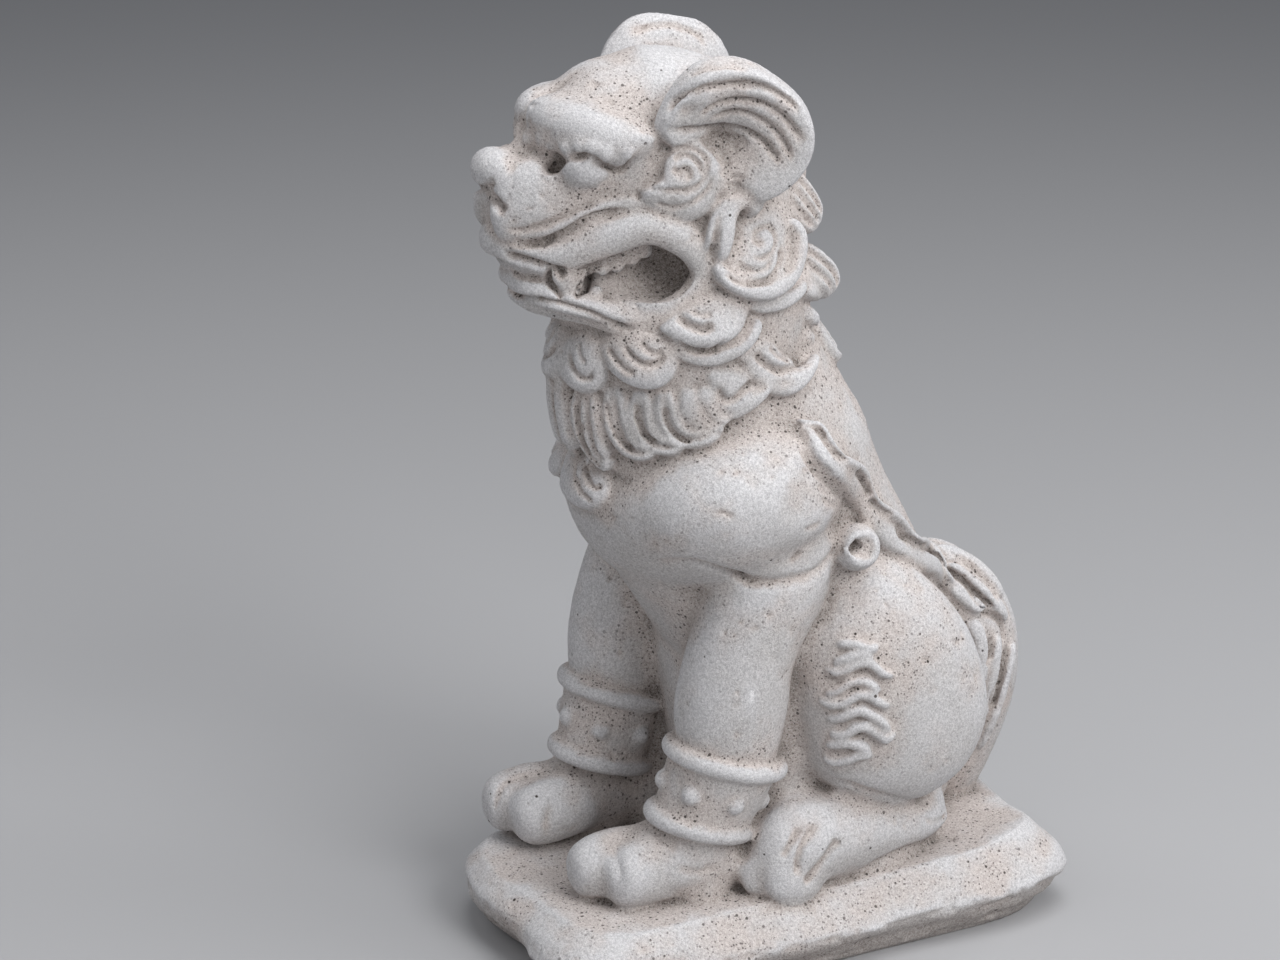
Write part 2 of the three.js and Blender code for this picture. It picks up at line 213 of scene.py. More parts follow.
# %% [markdown]
# ## From grids to one skin
# The lumps run into each other. Blender's voxel Remesh fills the space inside all of them with
# small cubes and wraps one new skin round it, which joins the lumps as wet clay joins. A little
# smoothing afterwards, each point moving towards the middle of its neighbours, rounds the creases.

# %% Skins
def shell_mesh(name, grids):
    """One mesh of many grids (rows, around, 3). Rows close round; a grid marked closed also joins
    its last row to its first, and the others get a flat cap on each end."""
    points, faces, start = [], [], 0
    for grid, closed in grids:
        rows, around = grid.shape[:2]
        i = np.arange(rows if closed else rows - 1)[:, None]
        j = np.arange(around)[None]
        below, beside = (i + 1) % rows, (j + 1) % around
        here, under = i * around, below * around
        quads = np.stack([here + j, here + beside, under + beside, under + j], -1)
        faces += (quads.reshape(-1, 4) + start).tolist()
        if not closed:
            last = start + (rows - 1) * around
            faces += [list(range(start, start + around)), list(range(last, last + around))]
        points.append(grid.reshape(-1, 3))
        start += rows * around
    mesh = bpy.data.meshes.new(name)
    mesh.from_pydata((np.concatenate(points) * MM).tolist(), [], faces)
    return mesh

# %% Meshes before and after a modifier
def changed(mesh, modifier, **settings):
    """The mesh that one modifier makes of a mesh."""
    block = added("block", mesh)
    made = block.modifiers.new("change", modifier)
    for name, value in settings.items():
        setattr(made, name, value)
    result = bpy.data.meshes.new_from_object(block.evaluated_get(bpy.context.evaluated_depsgraph_get()))
    bpy.data.objects.remove(block)
    return result


def remeshed(mesh, voxel):
    """A new skin round everything inside the mesh, in steps of `voxel` millimetres."""
    return changed(mesh, "REMESH", mode="VOXEL", voxel_size=voxel * MM)


def read(collection, name, width, kind=np.float32):
    """What a Blender collection keeps under a name, as rows of `width` numbers."""
    flat = np.empty(len(collection) * width, kind)
    collection.foreach_get(name, flat)
    return flat.reshape(-1, width)


def points_of(mesh):
    """The mesh's points in millimetres."""
    return read(mesh.vertices, "co", 3).astype(float) / MM


def put_points(mesh, points):
    """Moves the mesh's points to places in millimetres."""
    mesh.vertices.foreach_set("co", (points * MM).astype(np.float32).ravel())
    mesh.update()


def normals_of(mesh):
    """The outward directions at the mesh's points."""
    return read(mesh.vertex_normals, "vector", 3).astype(float)

# %% Smoothing
def smoothed(mesh, values, times):
    """Values at the points, each moved halfway to the mean of its neighbours' values, some times."""
    a, b = read(mesh.edges, "vertices", 2, np.int32).T
    count = len(mesh.vertices)
    neighbours = np.maximum(np.bincount(a, minlength=count) + np.bincount(b, minlength=count), 1)
    values = values.reshape(count, -1).copy()
    for _ in range(times):
        for k in range(values.shape[1]):
            total = np.bincount(a, values[b, k], count) + np.bincount(b, values[a, k], count)
            values[:, k] += 0.5 * (total / neighbours - values[:, k])
    return values


def skin_of(grids, voxel, smooth_times):
    """The joined and smoothed skin of many lumps."""
    mesh = remeshed(shell_mesh("lumps", grids), voxel)
    put_points(mesh, smoothed(mesh, points_of(mesh), smooth_times))
    return mesh


def open_ended(*grids):
    """Grids marked as not closed, so that they get caps."""
    return [(grid, False) for grid in grids]

# %% [markdown]
# ## The lumps of the body
# A seated lion: the torso leans back to the tail, the breast overhangs the forelegs, and a wall of
# cement stands between the legs, because a mould can't reach in there. The measures follow the CAD
# model's, so that the skin stays close to the CAD solid.

# %% Torso, neck and breast
torso = form([
    [0, 100, 32, 50, 30], [0, 74, 92, 60, 54], [0, 42, 150, 60, 66], [0, 8, 205, 60, 70],
    [0, -12, 250, 60, 72], [0, -22, 300, 54, 62], [0, -32, 345, 48, 50],
], around=64, along=60, blunt=3)
neck = column([
    [0, -34, 270, 46, 48], [0, -34, 312, 55, 59], [0, -32, 350, 54, 56], [0, -26, 392, 46, 46],
], around=64)
breast = form([
    [-76, -4, 240, 28, 24], [-54, -12, 238, 57, 36], [0, -24, 226, 62, 44],
    [54, -12, 241, 57, 36], [77, -4, 242, 28, 25],
], across=BACK, around=64, along=60, blunt=3.4)
belly = form([
    [-4, -14, 222, 46, 32], [-4, -6, 150, 52, 34], [-4, 8, 80, 55, 38], [-4, 8, 28, 55, 42],
], blunt=6)
bib = form([
    [-5, -44, 352, 36, 34], [-5, -57, 325, 40, 34], [-5, -62, 290, 40, 33], [-5, -60, 254, 32, 28],
], blunt=4)
body_lumps = open_ended(torso, neck, breast, belly, bib)
print("trunk:", len(body_lumps), "lumps")

# %% Forelegs and paws
# The two forelegs differ a little, as in the cast: where the anklet stands, how far forward and
# how high, how far the shoulder lies outside it, and the middle and half width of the paw.
LEFT_LEG = dict(side=1, x=43, forward=0, lift=0, shoulder=7, paw=29, toes=[(21, -82), (38, -71)])
RIGHT_LEG = dict(side=-1, x=-54, forward=10, lift=3, shoulder=-3, paw=-53, toes=[(-63, -90), (-42, -84)])


def leg_y(leg):
    """How far back the middle of a foreleg stands."""
    return -36 - leg["forward"]


def leg_sections(leg, levels):
    """Sections of a foreleg from levels [height, half width, half depth, share out, back]."""
    at = np.array(levels, float)
    x = leg["x"] + at[:, 3] * leg["side"] * leg["shoulder"]
    return np.stack([x, leg_y(leg) + at[:, 4], at[:, 0] + leg["lift"], at[:, 1], at[:, 2]], -1)


def foreleg(leg):
    """The lumps of one foreleg: a shaft, a foot and two toes."""
    shaft = column(leg_sections(leg, [
        [226, 18, 26, 1, 34], [200, 22, 29, 1, 24], [165, 24, 27, 0.6, 10], [135, 25, 28, 0.3, 5],
        [108, 23, 25, 0, 3], [75, 19, 20, -0.5, -9], [50, 18, 19, -0.8, -10], [34, 19, 20, -0.9, -10],
    ]))
    middle, paw = (leg["x"] + leg["paw"]) / 2, leg["paw"]
    y = leg_y(leg)
    foot = form([
        [middle, y + 10, 46, 18, 14], [middle, y - 12, 57, 21, 20], [paw, y - 44, 54, 24, 18],
    ], blunt=3.4)
    toes = []
    for x, y in leg["toes"]:
        z = 53 + leg["lift"]
        toes.append(form([
            [x, y + 24, z, 13, 15], [x, y, z, 15, 17], [x, y - 24, z - 2.5, 14, 16],
        ], blunt=3.6))
    return open_ended(shaft, foot, *toes)


for leg in (LEFT_LEG, RIGHT_LEG):
    body_lumps += foreleg(leg)
# the web of cement that closes the gap between each foreleg and the belly
WEB_PLACES = 32, -46
for x in WEB_PLACES:
    web = form([[x, -22, 26, 14, 24], [x, -22, 72, 14, 24], [x, -20, 122, 13, 22]], blunt=6)
    body_lumps += open_ended(web)
print("trunk and forelegs:", len(body_lumps), "lumps")

# %% Haunches and tail
HIND_TOES = (47, -15), (59, -15), (70, -7)
for side in (1, -1):
    thigh = form(flank(side, [
        [52, 66, 72, 24, 32], [54, 62, 98, 28, 48], [55, 54, 130, 28, 50],
        [52, 44, 166, 26, 42], [42, 34, 206, 18, 26],
    ]), blunt=3)
    hind_foot = form(flank(side, [
        [48, 93, 54, 10, 9], [53, 66, 57, 14, 13], [56, 25, 61, 19, 20],
        [58, -4, 60, 20, 24], [57, -25, 51, 16, 13],
    ]), blunt=3)
    hind_toes = [egg([side * x, y, 49], [7, 17, 17]) for x, y in HIND_TOES]
    under_foot = form(flank(side, [[36, 95, 42, 16, 14], [46, 40, 48, 22, 24], [54, 0, 42, 16, 12]]))
    hock = egg([side * 42, 78, 62], [14, 16, 12])
    body_lumps += open_ended(thigh, hind_foot, under_foot, hock, *hind_toes)
tail = form([
    [0, 122, 30, 16, 22], [0, 126, 60, 20, 25], [0, 130, 96, 24, 31],
    [0, 129, 130, 25, 31], [0, 113, 160, 22, 25], [0, 104, 184, 12, 12],
])
body_lumps += open_ended(tail)
print("whole body:", len(body_lumps), "lumps")

# %% [markdown]
# ## The lumps of the head
# The head is made looking straight ahead, because both its halves are then alike, and turned a few
# degrees to the lion's right about the neck when it is finished.

# %% Head
HEAD_TURN = math.radians(-7)
NECK_AXIS = np.array([0.0, -34.0, 0.0])


def turned(points, angle=HEAD_TURN):
    """Points turned about the upright line through the neck."""
    c, s = math.cos(angle), math.sin(angle)
    return (points - NECK_AXIS) @ np.array([[c, s, 0], [-s, c, 0], [0, 0, 1]]) + NECK_AXIS


skull = form([
    [0, 20, 376, 27, 24], [0, -4, 393, 42, 40], [0, -38, 400, 49, 47],
    [0, -68, 405, 44, 46], [0, -88, 412, 38, 37], [0, -107, 416, 29, 18],
], around=64, along=60, blunt=2.8)
muzzle = form([
    [0, -60, 386, 24, 22], [0, -92, 383, 18, 22], [0, -114, 381, 14, 22], [0, -132, 380, 10, 14],
], blunt=4)
pads = [form(flank(side, [
    [22, -52, 388, 20, 20], [20, -80, 386, 17, 23], [18, -106, 384, 13, 23], [14, -124, 383, 9, 20],
    [13, -134, 384, 6, 13],
]), blunt=3.4) for side in (1, -1)]
nose = form([
    [-18, -119, 392, 6, 7], [-11, -124, 396, 9, 9], [0, -128, 398, 10.5, 10.5], [11, -124, 396, 9, 9],
    [18, -119, 392, 6, 7],
], across=BACK)
bridge = egg([0, -108, 405], [11, 11, 10])
throat = form([
    [0, -30, 352, 30, 20], [0, -70, 352, 22, 16], [0, -100, 351, 18, 10], [0, -120, 350, 15, 8],
], blunt=3)
chin = form([
    [0, -44, 335, 42, 17], [0, -74, 332, 36, 13], [0, -104, 336, 22, 9], [0, -122, 340, 12, 6],
], blunt=3.4)
brow_half = [
    [46, -66, 414, 3, 3], [45, -75, 411, 6, 7], [42, -85, 414, 8, 9], [35, -91, 414, 9, 11],
    [26, -96, 416, 11, 12], [13, -102, 420, 12, 11],
]
brow = form(np.vstack([brow_half, [[0, -104, 423, 9, 11]], flank(-1, brow_half)[::-1]]), across=UP)
plate_half = [[45, -62, 416, 5, 8], [42, -72, 417, 9, 15], [30, -84, 420, 11, 20], [14, -92, 423, 10, 19]]
plate = form(np.vstack([plate_half, [[0, -93, 423, 10, 19]], flank(-1, plate_half)[::-1]]), across=UP)
eyes = [egg([side * 30, -93, 400], [9, 11, 10]) for side in (1, -1)]
head_lumps = open_ended(*[turned(g) for g in (
    skull, muzzle, *pads, nose, bridge, throat, chin, brow, plate, *eyes)])
print("head:", len(head_lumps), "lumps")

# %% [markdown]
# ## Joining the clay and opening the mouth
# The lumps of the body and of the head become one skin here. The mouth of the real lion is a deep
# hollow at each corner, closed towards the front, so it is cut with two rounded wedges, one on each
# side. A Boolean takes them out before anything fine is laid on, as a modeller digs the mouth first.

# %% Joining the clay
def cut(mesh, grids):
    """The mesh less the space inside the grids."""
    knife = added("knife", shell_mesh("knife", grids))
    rest = changed(mesh, "BOOLEAN", operation="DIFFERENCE", object=knife)
    bpy.data.objects.remove(knife)
    return rest


clay = skin_of(body_lumps + head_lumps, voxel=2.5, smooth_times=6)
mouth = [turned(form(flank(side, [
    [36, -124, 351, 8, 4], [34, -104, 349, 13, 7], [36, -80, 352, 15, 12], [40, -58, 353, 17, 14],
    [42, -42, 352, 9, 9],
]), blunt=3.4)) for side in (1, -1)]
clay = cut(clay, open_ended(*mouth))
print("clay:", len(clay.polygons), "faces")

# %% [markdown]
# ## Placing in the view
# A modeller works with the photograph beside the clay. `seen` does the same: it takes places of the
# view and gives spots on the clay, each a row [x, y, z, outward direction]. `opposite` carries
# spots to the other flank, and `round_neck` places spots by their angle from the front and height.

# %% Spots
FOCAL = VIEW_SIZE[0] * LENS / SENSOR
NEAREST, FARTHEST = 1100, 1800
WELL_OUTSIDE = 200


def tree_of(mesh):
    """A search tree of the mesh's faces, in millimetres."""
    return BVHTree.FromPolygons(points_of(mesh).tolist(), [list(p.vertices) for p in mesh.polygons])


def spot(hit):
    """A search tree's answer (place, outward direction, face, distance) as a spot."""
    return [*hit[0], *hit[1]]


def seen(places, tree):
    """Spots where the camera's rays meet the surface, or pass nearest to it."""
    spots = []
    for x, y in places - VIEW_SIZE / 2:
        ray = unit(rightwards * x - upwards * y - backwards * FOCAL)
        hit = tree.ray_cast(Vector(eye_point), Vector(ray))
        if hit[0] is None:
            passes = [tree.find_nearest(Vector(eye_point + ray * d)) for d in range(NEAREST, FARTHEST, 3)]
            hit = min(passes, key=lambda found: found[3])
        spots.append(spot(hit))
    return np.array(spots)


def round_neck(places, tree):
    """Spots at [degrees from the front, height], met by level rays towards the neck's axis."""
    spots = []
    for degrees, z in places:
        a = math.radians(degrees)
        out = np.array([math.sin(a), -math.cos(a), 0])
        origin = NECK_AXIS + out * WELL_OUTSIDE + UP * z
        spots.append(spot(tree.ray_cast(Vector(origin), Vector(-out))))
    return np.array(spots)


def opposite(spots, tree, head=False):
    """The same spots on the other flank, laid on its surface. The head's middle is turned."""
    points = turned(spots[:, :3], -HEAD_TURN) if head else spots[:, :3].copy()
    points[:, 0] *= -1
    points = turned(points) if head else points
    return np.array([spot(tree.find_nearest(Vector(p))) for p in points])


clay_tree = tree_of(clay)
print("the middle of the view meets the clay at", seen([VIEW_SIZE / 2], clay_tree)[0, :3].round(), "mm")

# %% [markdown]
# ## The mane
# The mane is not hair by hair but curls and flames, each a low relief with a clear edge. A curl is
# a pillow with a drawn outline, `lobe`, and a strand is a ridge along a drawn path, `lock`. Both
# are drawn on the flank that is seen and laid on the other flank too.

# %% Lobes and locks
CLAY_RADIUS = 60


def lobe(spots, height, sink=5, root=0.25, blunt=3.4, around=72, rings=14):
    """A pillow with a drawn outline: middle + r * (rim - middle), lifted outward by
    height * (1 - r ** blunt) ** (1 / blunt), and by what a ball of CLAY_RADIUS bulges over that
    outline. It is only `root` as high at its upper end as at its lower one."""
    rim = through(spots, np.arange(around) / around, closed=True)
    middle = rim.mean(0)
    bulge = np.linalg.norm(rim[:, :3] - middle[:3], axis=1).mean() ** 2 / (2 * CLAY_RADIUS)
    r = np.sin(np.linspace(0, np.pi / 2, rings))[:, None, None]
    flat = middle[:3] + r * (rim[None, :, :3] - middle[:3])
    out = unit(middle[3:] + r * (rim[None, :, 3:] - middle[3:]))
    flat = flat + out * bulge * (1 - r**2)
    down = -flat[..., 2]
    share = (down - down.min()) / (down.max() - down.min())
    lift = ((1 - r**blunt).clip(0) ** (1 / blunt)) * height * (root + (1 - root) * share[..., None])
    top, bottom = flat + out * lift, flat - out * sink * (1 - r**4)
    return np.concatenate([top, bottom[::-1]])


def lock(spots, width, thick, strands=3, ridge=0.5, root=0.4, sink=4, rows=56, around=56, blunt=3.5):
    """A lock of hair along a path of spots. Across it, u from -1 to 1, it is thick *
    (1 - u ** 4) ** 0.4 high less a narrow valley between each two strands. Its thickness grows
    from `root` of the whole at its start to the whole at its end."""
    c = np.cos(np.linspace(0, np.pi, rows))
    path = through(spots, (1 - c) / 2)
    widths = [width, width] if np.isscalar(width) else width
    wide_here = through(np.array(widths)[:, None], (1 - c) / 2)
    swell = (1 - np.abs(c) ** blunt).clip(0) ** (1 / blunt)
    out = unit(path[:, 3:])
    tangent = unit(np.gradient(path[:, :3], axis=0))
    wide = unit(np.cross(tangent, out))
    t = np.linspace(0, 2 * np.pi, around, endpoint=False)
    u, v = np.cos(t), np.sin(t)
    valleys = sum(np.exp(-(((u + 1) * strands / 2 - k) / 0.22) ** 2) for k in range(1, strands))
    top = thick * (1 - u**4).clip(0) ** 0.4 * (1 - ridge * valleys)
    rise = np.where(v >= 0, top, -sink * (1 - u**4).clip(0) ** 0.4)
    side = (wide_here * swell[:, None]) * u
    rise = rise * (swell * (root + (1 - root) * (1 - c) / 2))[:, None]
    return path[:, None, :3] + wide[:, None] * side[..., None] + out[:, None] * rise[..., None]

# %% The long locks and the flame tufts
def both(make, places, *measures, head=False, tree=clay_tree, **shape):
    """A laid-on form on both flanks: `make` gets the spots of each, the measures and the shape."""
    spots = seen(places, tree)
    return open_ended(*[make(at, *measures, **shape) for at in (spots, opposite(spots, tree, head))])


# the long locks under the curls: path, half widths and how many strands
LONG_LOCKS = [
    ([(588, 382), (588, 412), (595, 437), (609, 457), (617, 462)], [8, 9.5, 9, 6, 3], 3),
    ([(614, 386), (619, 418), (630, 440), (648, 451), (658, 450)], [7, 8, 7, 5, 2.5], 2),
    ([(641, 390), (643, 418), (654, 437), (674, 446), (688, 443)], [6, 7, 6.5, 4.5, 2], 2),
    ([(664, 390), (669, 416), (682, 434), (704, 440), (721, 435)], [6, 6.5, 6, 4, 2], 2),
    ([(686, 388), (692, 409), (703, 422), (716, 428), (723, 427)], [5, 5.5, 4.5, 2.5, 1.5], 1),
    ([(702, 386), (709, 404), (717, 415), (728, 420)], [4, 4, 3, 1.5], 1),
]
# the middle one, by angle from the front and height
MIDDLE_LOCK = [(-8, 312), (-8, 290), (-7, 272), (-6, 262)]
# the flame tufts: outline, and how high each stands
TUFTS = [
    ([(708, 372), (711, 389), (716, 404), (726, 412), (740, 410), (752, 398), (766, 378), (766, 366),
      (750, 366), (730, 368)], 8),
    ([(735, 350), (742, 364), (756, 376), (772, 388), (788, 387), (801, 375), (811, 357), (796, 362),
      (780, 352), (765, 340)], 7),
]
mane = open_ended(lock(round_neck(MIDDLE_LOCK, clay_tree), 11, 10, 2))
for places, width, strands in LONG_LOCKS:
    mane += both(lock, places, width, 9, strands, ridge=0.6)
for outline, height in TUFTS:
    mane += both(lobe, outline, height)
print("locks and tufts:", len(mane), "pieces")

# %% The curls
# the outline of each, and how high it stands
CURLS = [
    ([(560, 336), (561, 357), (567, 373), (577, 386), (590, 392), (602, 389), (609, 378), (610, 365),
      (605, 350), (598, 338), (580, 330)], 9.5),
    ([(602, 340), (606, 356), (614, 369), (626, 378), (640, 384), (655, 386), (668, 381), (677, 370),
      (679, 357), (674, 345), (664, 337), (640, 332), (618, 332)], 9.5),
    ([(660, 326), (669, 336), (680, 343), (694, 346), (710, 346), (726, 340), (738, 330), (745, 316),
      (747, 303), (740, 294), (722, 292), (700, 300), (680, 312)], 10.5),
    ([(791, 222), (793, 242), (792, 260), (787, 276), (778, 288), (766, 295), (752, 297), (740, 295),
      (728, 288), (716, 276), (722, 262), (734, 240), (745, 218), (765, 205), (785, 205)], 8),
]
for outline, height in CURLS:
    mane += both(lobe, outline, height, blunt=2.8)
# the thick lower edges of the curls and tufts: path, half width, thickness, share of it at the start
EDGES = [
    ([(714, 262), (722, 276), (736, 286), (753, 290), (769, 285), (781, 272), (786, 252), (787, 234),
      (783, 218)], 4.6, 11.5, 0.8),
    ([(668, 338), (680, 349), (698, 356), (718, 355), (736, 346), (748, 333), (756, 318)], 4, 8, 0.4),
    ([(738, 297), (757, 304), (775, 302), (789, 293), (798, 282)], 4, 8, 0.4),
    ([(712, 386), (716, 400), (727, 409), (740, 404), (752, 392), (766, 377)], [4, 4, 4, 2], 10, 0.4),
    ([(745, 360), (757, 375), (772, 385), (787, 384), (799, 373), (809, 356)], [4, 5, 5, 2], 11, 0.4),
]
for places, width, thick, root in EDGES:
    mane += both(lock, places, width, thick, 1, root=root)
print("with the curls:", len(mane), "pieces")

# %% Behind the ears, down the nape and on the breast
CURL_BEHIND_EAR = [(798, 280), (800, 270), (808, 268), (818, 274), (820, 286), (818, 298), (808, 302),
                   (800, 296)]
# the hair that stands out behind the ear and the curls: path, half widths, thickness, strands
STANDING_HAIR = [
    ([[30, -4, 392], [28, 6, 380], [25, 15, 368], [23, 20, 360]], [9, 12, 11, 6], 13, 4),
    ([[30, 4, 354], [27, 16, 346], [24, 26, 336], [22, 30, 326]], [7, 9, 9, 6], 12, 3),
    ([[36, 2, 330], [31, 13, 322], [26, 22, 315]], [3.5, 4.5, 3], 8, 1),
    ([[38, -4, 322], [32, 9, 313], [27, 19, 307]], [3.5, 4.5, 3], 8, 1),
]
STANDING_OUTWARD = [0.9, 0.3, 0.3]
# the locks down the nape: degrees from the front, height, length and half width
NAPE_LOCKS = [(172, 392, 30, 10), (176, 352, 30, 10), (166, 322, 24, 9)]
mane += both(lobe, CURL_BEHIND_EAR, 9)
for stations, width, thick, strands in STANDING_HAIR:
    for side in (1, -1):
        at = np.hstack([flank(side, stations), flank(side, [STANDING_OUTWARD] * len(stations))])
        mane += open_ended(lock(at, width, thick, strands))
for degrees, z, drop, width in NAPE_LOCKS:
    for side in (1, -1):
        spots = round_neck([
            (side * degrees, z), (side * degrees, z - drop * 0.5), (side * (degrees + 2), z - drop),
            (side * (degrees + 6), z - drop * 1.1)], clay_tree)
        mane += open_ended(lock(spots, [width * 0.7, width, width, width * 0.6], 7, 3))
# the two pendant curls on the breast, side by side
PENDANT = [(577, 446), (570, 462), (569, 484), (576, 499), (588, 509), (600, 509), (609, 500), (612, 485),
           (607, 474), (598, 462), (592, 448)]
pendant = seen(PENDANT, clay_tree)
beside = 2 * pendant[:, 0].min()
twin = np.array([spot(clay_tree.find_nearest(Vector([beside - p[0], p[1], p[2]]))) for p in pendant])
mane += open_ended(lobe(pendant, 9, blunt=2.8), lobe(twin, 7, blunt=2.8))
print("mane:", len(mane), "pieces")

# %% [markdown]
# ## Lips and teeth
# The lips are one thick roll round the whole mouth, so their shape is an ellipse carried round a
# closed path, thin at the front and thick at the corners. A thinner ridge runs above the upper
# lip. The fangs, gums and small teeth are lumps behind it, deep enough to lie in its shade.

# %% Lips and teeth
lip_half = [
    [0, -130, 365, 4, 7], [9, -127, 363.5, 4.5, 6.5], [17, -120, 361, 5.5, 7], [26, -107, 361, 6, 8.5],
    [32, -94, 366.5, 6.5, 9], [37, -82, 372, 7, 9.5], [42, -65, 375, 7, 8.5], [45, -49, 367, 7, 8.5],
    [46, -41, 354, 7, 8], [45, -45, 343, 7, 8], [43, -56, 334, 7, 8], [37, -71, 331, 7, 7],
    [31, -90, 336, 6, 5.5], [26, -104, 340, 6, 6], [18, -113, 343, 6, 6.5], [9, -117, 345.5, 6, 6.5],
    [0, -118, 346.5, 6, 6.5],
]
ring = through(np.vstack([lip_half, flank(-1, lip_half)[-2:0:-1]]), np.arange(240) / 240, closed=True)
outward = ring[:, :3] * [2, 1, 0] + [0, 80, 0]
lips = carried(ring[:, :3], ring[:, 3:], outward, 20, closed=True)
# the wall that closes the mouth behind the front of the lips
wall = form([[0, -94, 352, 26, 7], [0, -108, 353, 25, 8], [0, -125, 356, 16, 5]], blunt=4)
details = [(turned(lips), True), *open_ended(turned(wall))]
TEETH = (28, -92, 354), (29, -85, 355), (30, -78, 356), (31, -71, 359), (32, -65, 362)
for side in (1, -1):
    ridge = form(flank(side, [
        [10, -127, 370, 3, 3], [14, -124, 370, 4, 4], [25, -111, 373, 4, 4.5], [31, -99, 380, 4, 4.5],
        [35, -88, 384, 4, 4.5], [39, -74, 386, 4, 4], [43, -63, 385, 4, 4], [46, -52, 376, 4, 3],
    ]))
    fang = form(flank(side, [[25, -102, 364, 6, 9], [26, -101, 354, 6, 9], [27, -100, 340, 5, 6]]))
    gum = form(flank(side, [[25, -104, 360, 5, 6], [29, -85, 362, 5, 7], [33, -62, 366, 5, 6]]))
    teeth = [egg([side * x, y, z], [3, 3.6, 4.5]) for x, y, z in TEETH]
    lower_tooth = egg([side * 29, -88, 343], [3, 3.5, 3])
    details += open_ended(*[turned(g) for g in (ridge, fang, gum, lower_tooth, *teeth)])
print("lips and teeth:", len(details), "forms")

# %% [markdown]
# ## Ears and face
# An ear is a dish with a rolled rim, tall at the back and low where it grows out of the temple. The
# dish is worked out from its outline towards the middle, so each ring keeps the ear's own shape. The
# small forms of the face are laid round it: a scroll on the cheek, strands, brow and eyes.

# %% Ears
def ear_shell(side, outline, middle, height, rings=40, around=96):
    """A dish whose rim stands out: middle + r * (outline - middle) in the plane of the ear, lifted
    outward by height * lift(r), where lift rises from the hollow to the rim and rolls over it."""
    rim = through(outline, np.arange(around) / around, closed=True)
    r = np.linspace(0, 1, rings)
    # the lift at eleven places from the middle to the back of the rim
    steps = [0.0, 0.02, 0.12, 0.35, 0.55, 0.72, 0.86, 0.97, 1.0, 0.92, 0.0]
    lift = through(np.array(steps)[:, None], r)[:, 0]
    flat = middle[None, None] + r[:, None, None] * (rim - middle)
    top = np.array(flat)
    top[..., 0] += height * lift[:, None] * rim[None, :, 3]
    top, bottom = top[..., :3], np.array(flat[..., :3])
    bottom[..., 0] -= 10 * (1 - r[:, None] ** 6)
    grid = np.concatenate([top, bottom[::-1]])
    grid[..., 0] *= side
    return grid


EAR_HEIGHT = 13
# each point of the outline: place, then how high the rim stands there
ear_outline = np.array([
    [46, -66, 420, 0.5], [47, -60, 438, 0.75], [48, -50, 449, 1], [50, -38, 453, 1], [51, -24, 451, 1.05],
    [52, -10, 443, 1.1], [53, 2, 432, 1.1], [53, 8, 418, 1.1], [53, 6, 403, 1.0], [52, -3, 391, 0.9],
    [50, -16, 384, 0.7], [48, -26, 389, 0.4], [46, -37, 398, 0.28], [46, -50, 406, 0.3],
])
ear_middle = np.array([47, -36, 411, 0])
far_outline = ear_outline + [0, 3, 3, 0]
far_outline[4:8, 1:3] += [[1, 0], [1, 4], [0, 5], [0, 4]]
for side, outline, middle in ((1, ear_outline, ear_middle), (-1, far_outline, ear_middle + [0, 3, 0, 0])):
    details += open_ended(turned(ear_shell(side, outline, middle, EAR_HEIGHT)))
print("with the ears:", len(details), "forms")

# %% Face
def sunk_egg(spots, radii, depth):
    """An egg whose centre lies some way under a spot."""
    return egg(spots[0, :3] - spots[0, 3:] * depth, radii)


SCROLL = [(664, 160), (672, 147), (686, 142), (702, 145), (713, 156), (719, 172), (718, 190), (710, 208),
          (698, 218), (682, 221), (664, 214), (650, 203), (640, 192), (650, 184), (661, 176)]
EAR_LOBE = [(719, 262), (722, 240), (724, 219), (730, 205), (740, 200), (747, 206), (744, 216)]
STRAND_BEFORE_EAR = [(705, 251), (709, 229), (715, 209), (725, 196), (738, 190), (749, 194), (754, 204),
                     (752, 214)]
# the lumps along the brow's lower edge: place and radius
BROW_LUMPS = [
    (518, 127, 6), (530, 139, 6), (541, 145, 6.5), (553, 150, 6.5), (566, 151, 6), (579, 148, 5),
    (592, 150, 6), (605, 156, 6), (617, 160, 6.5), (628, 154, 5),
]
EYE, NOTCH_BEHIND_SCROLL = (590, 169), (724, 180)
BAND_UNDER_LIP = [(516, 299), (531, 306), (556, 311), (585, 317), (612, 325), (640, 330)]
details += both(lobe, SCROLL, 5.5, root=1, blunt=5, head=True)
details += both(lock, EAR_LOBE, [4.2, 4.6, 4.6, 4.2, 4, 4.2, 4.2], 10, 1, root=0.9, head=True)
details += both(lock, STRAND_BEFORE_EAR, 1.9, 8, 1, root=1, head=True)
for x, y, radius in BROW_LUMPS:
    details += both(sunk_egg, [(x, y)], [radius] * 3, 0.6 * radius, head=True)
details += both(sunk_egg, [EYE], [11.5, 12, 10.5], 7, head=True)
details += both(sunk_egg, [NOTCH_BEHIND_SCROLL], [7, 8, 9], 1.5, head=True)
details += both(lock, BAND_UNDER_LIP, 3.5, 4, 1, head=True)
print("face and ears:", len(details), "forms")

# %% [markdown]
# ## Bands, cord and hair of the thigh
# The lion wears a studded band round each foreleg: a cuff between two rings. A flat strap with a
# wavy upper edge runs from the shoulder down the back past a round boss, and short curly strands
# lie on the thigh. All of them are low forms on the clay, made with the same tools as the mane.

# %% Anklets
BAND_LEAN = 0.28
BAND_TOP, BAND_BOTTOM = 108, 75
RING_THICK, STUD_RADIUS = 4.8, 5.6


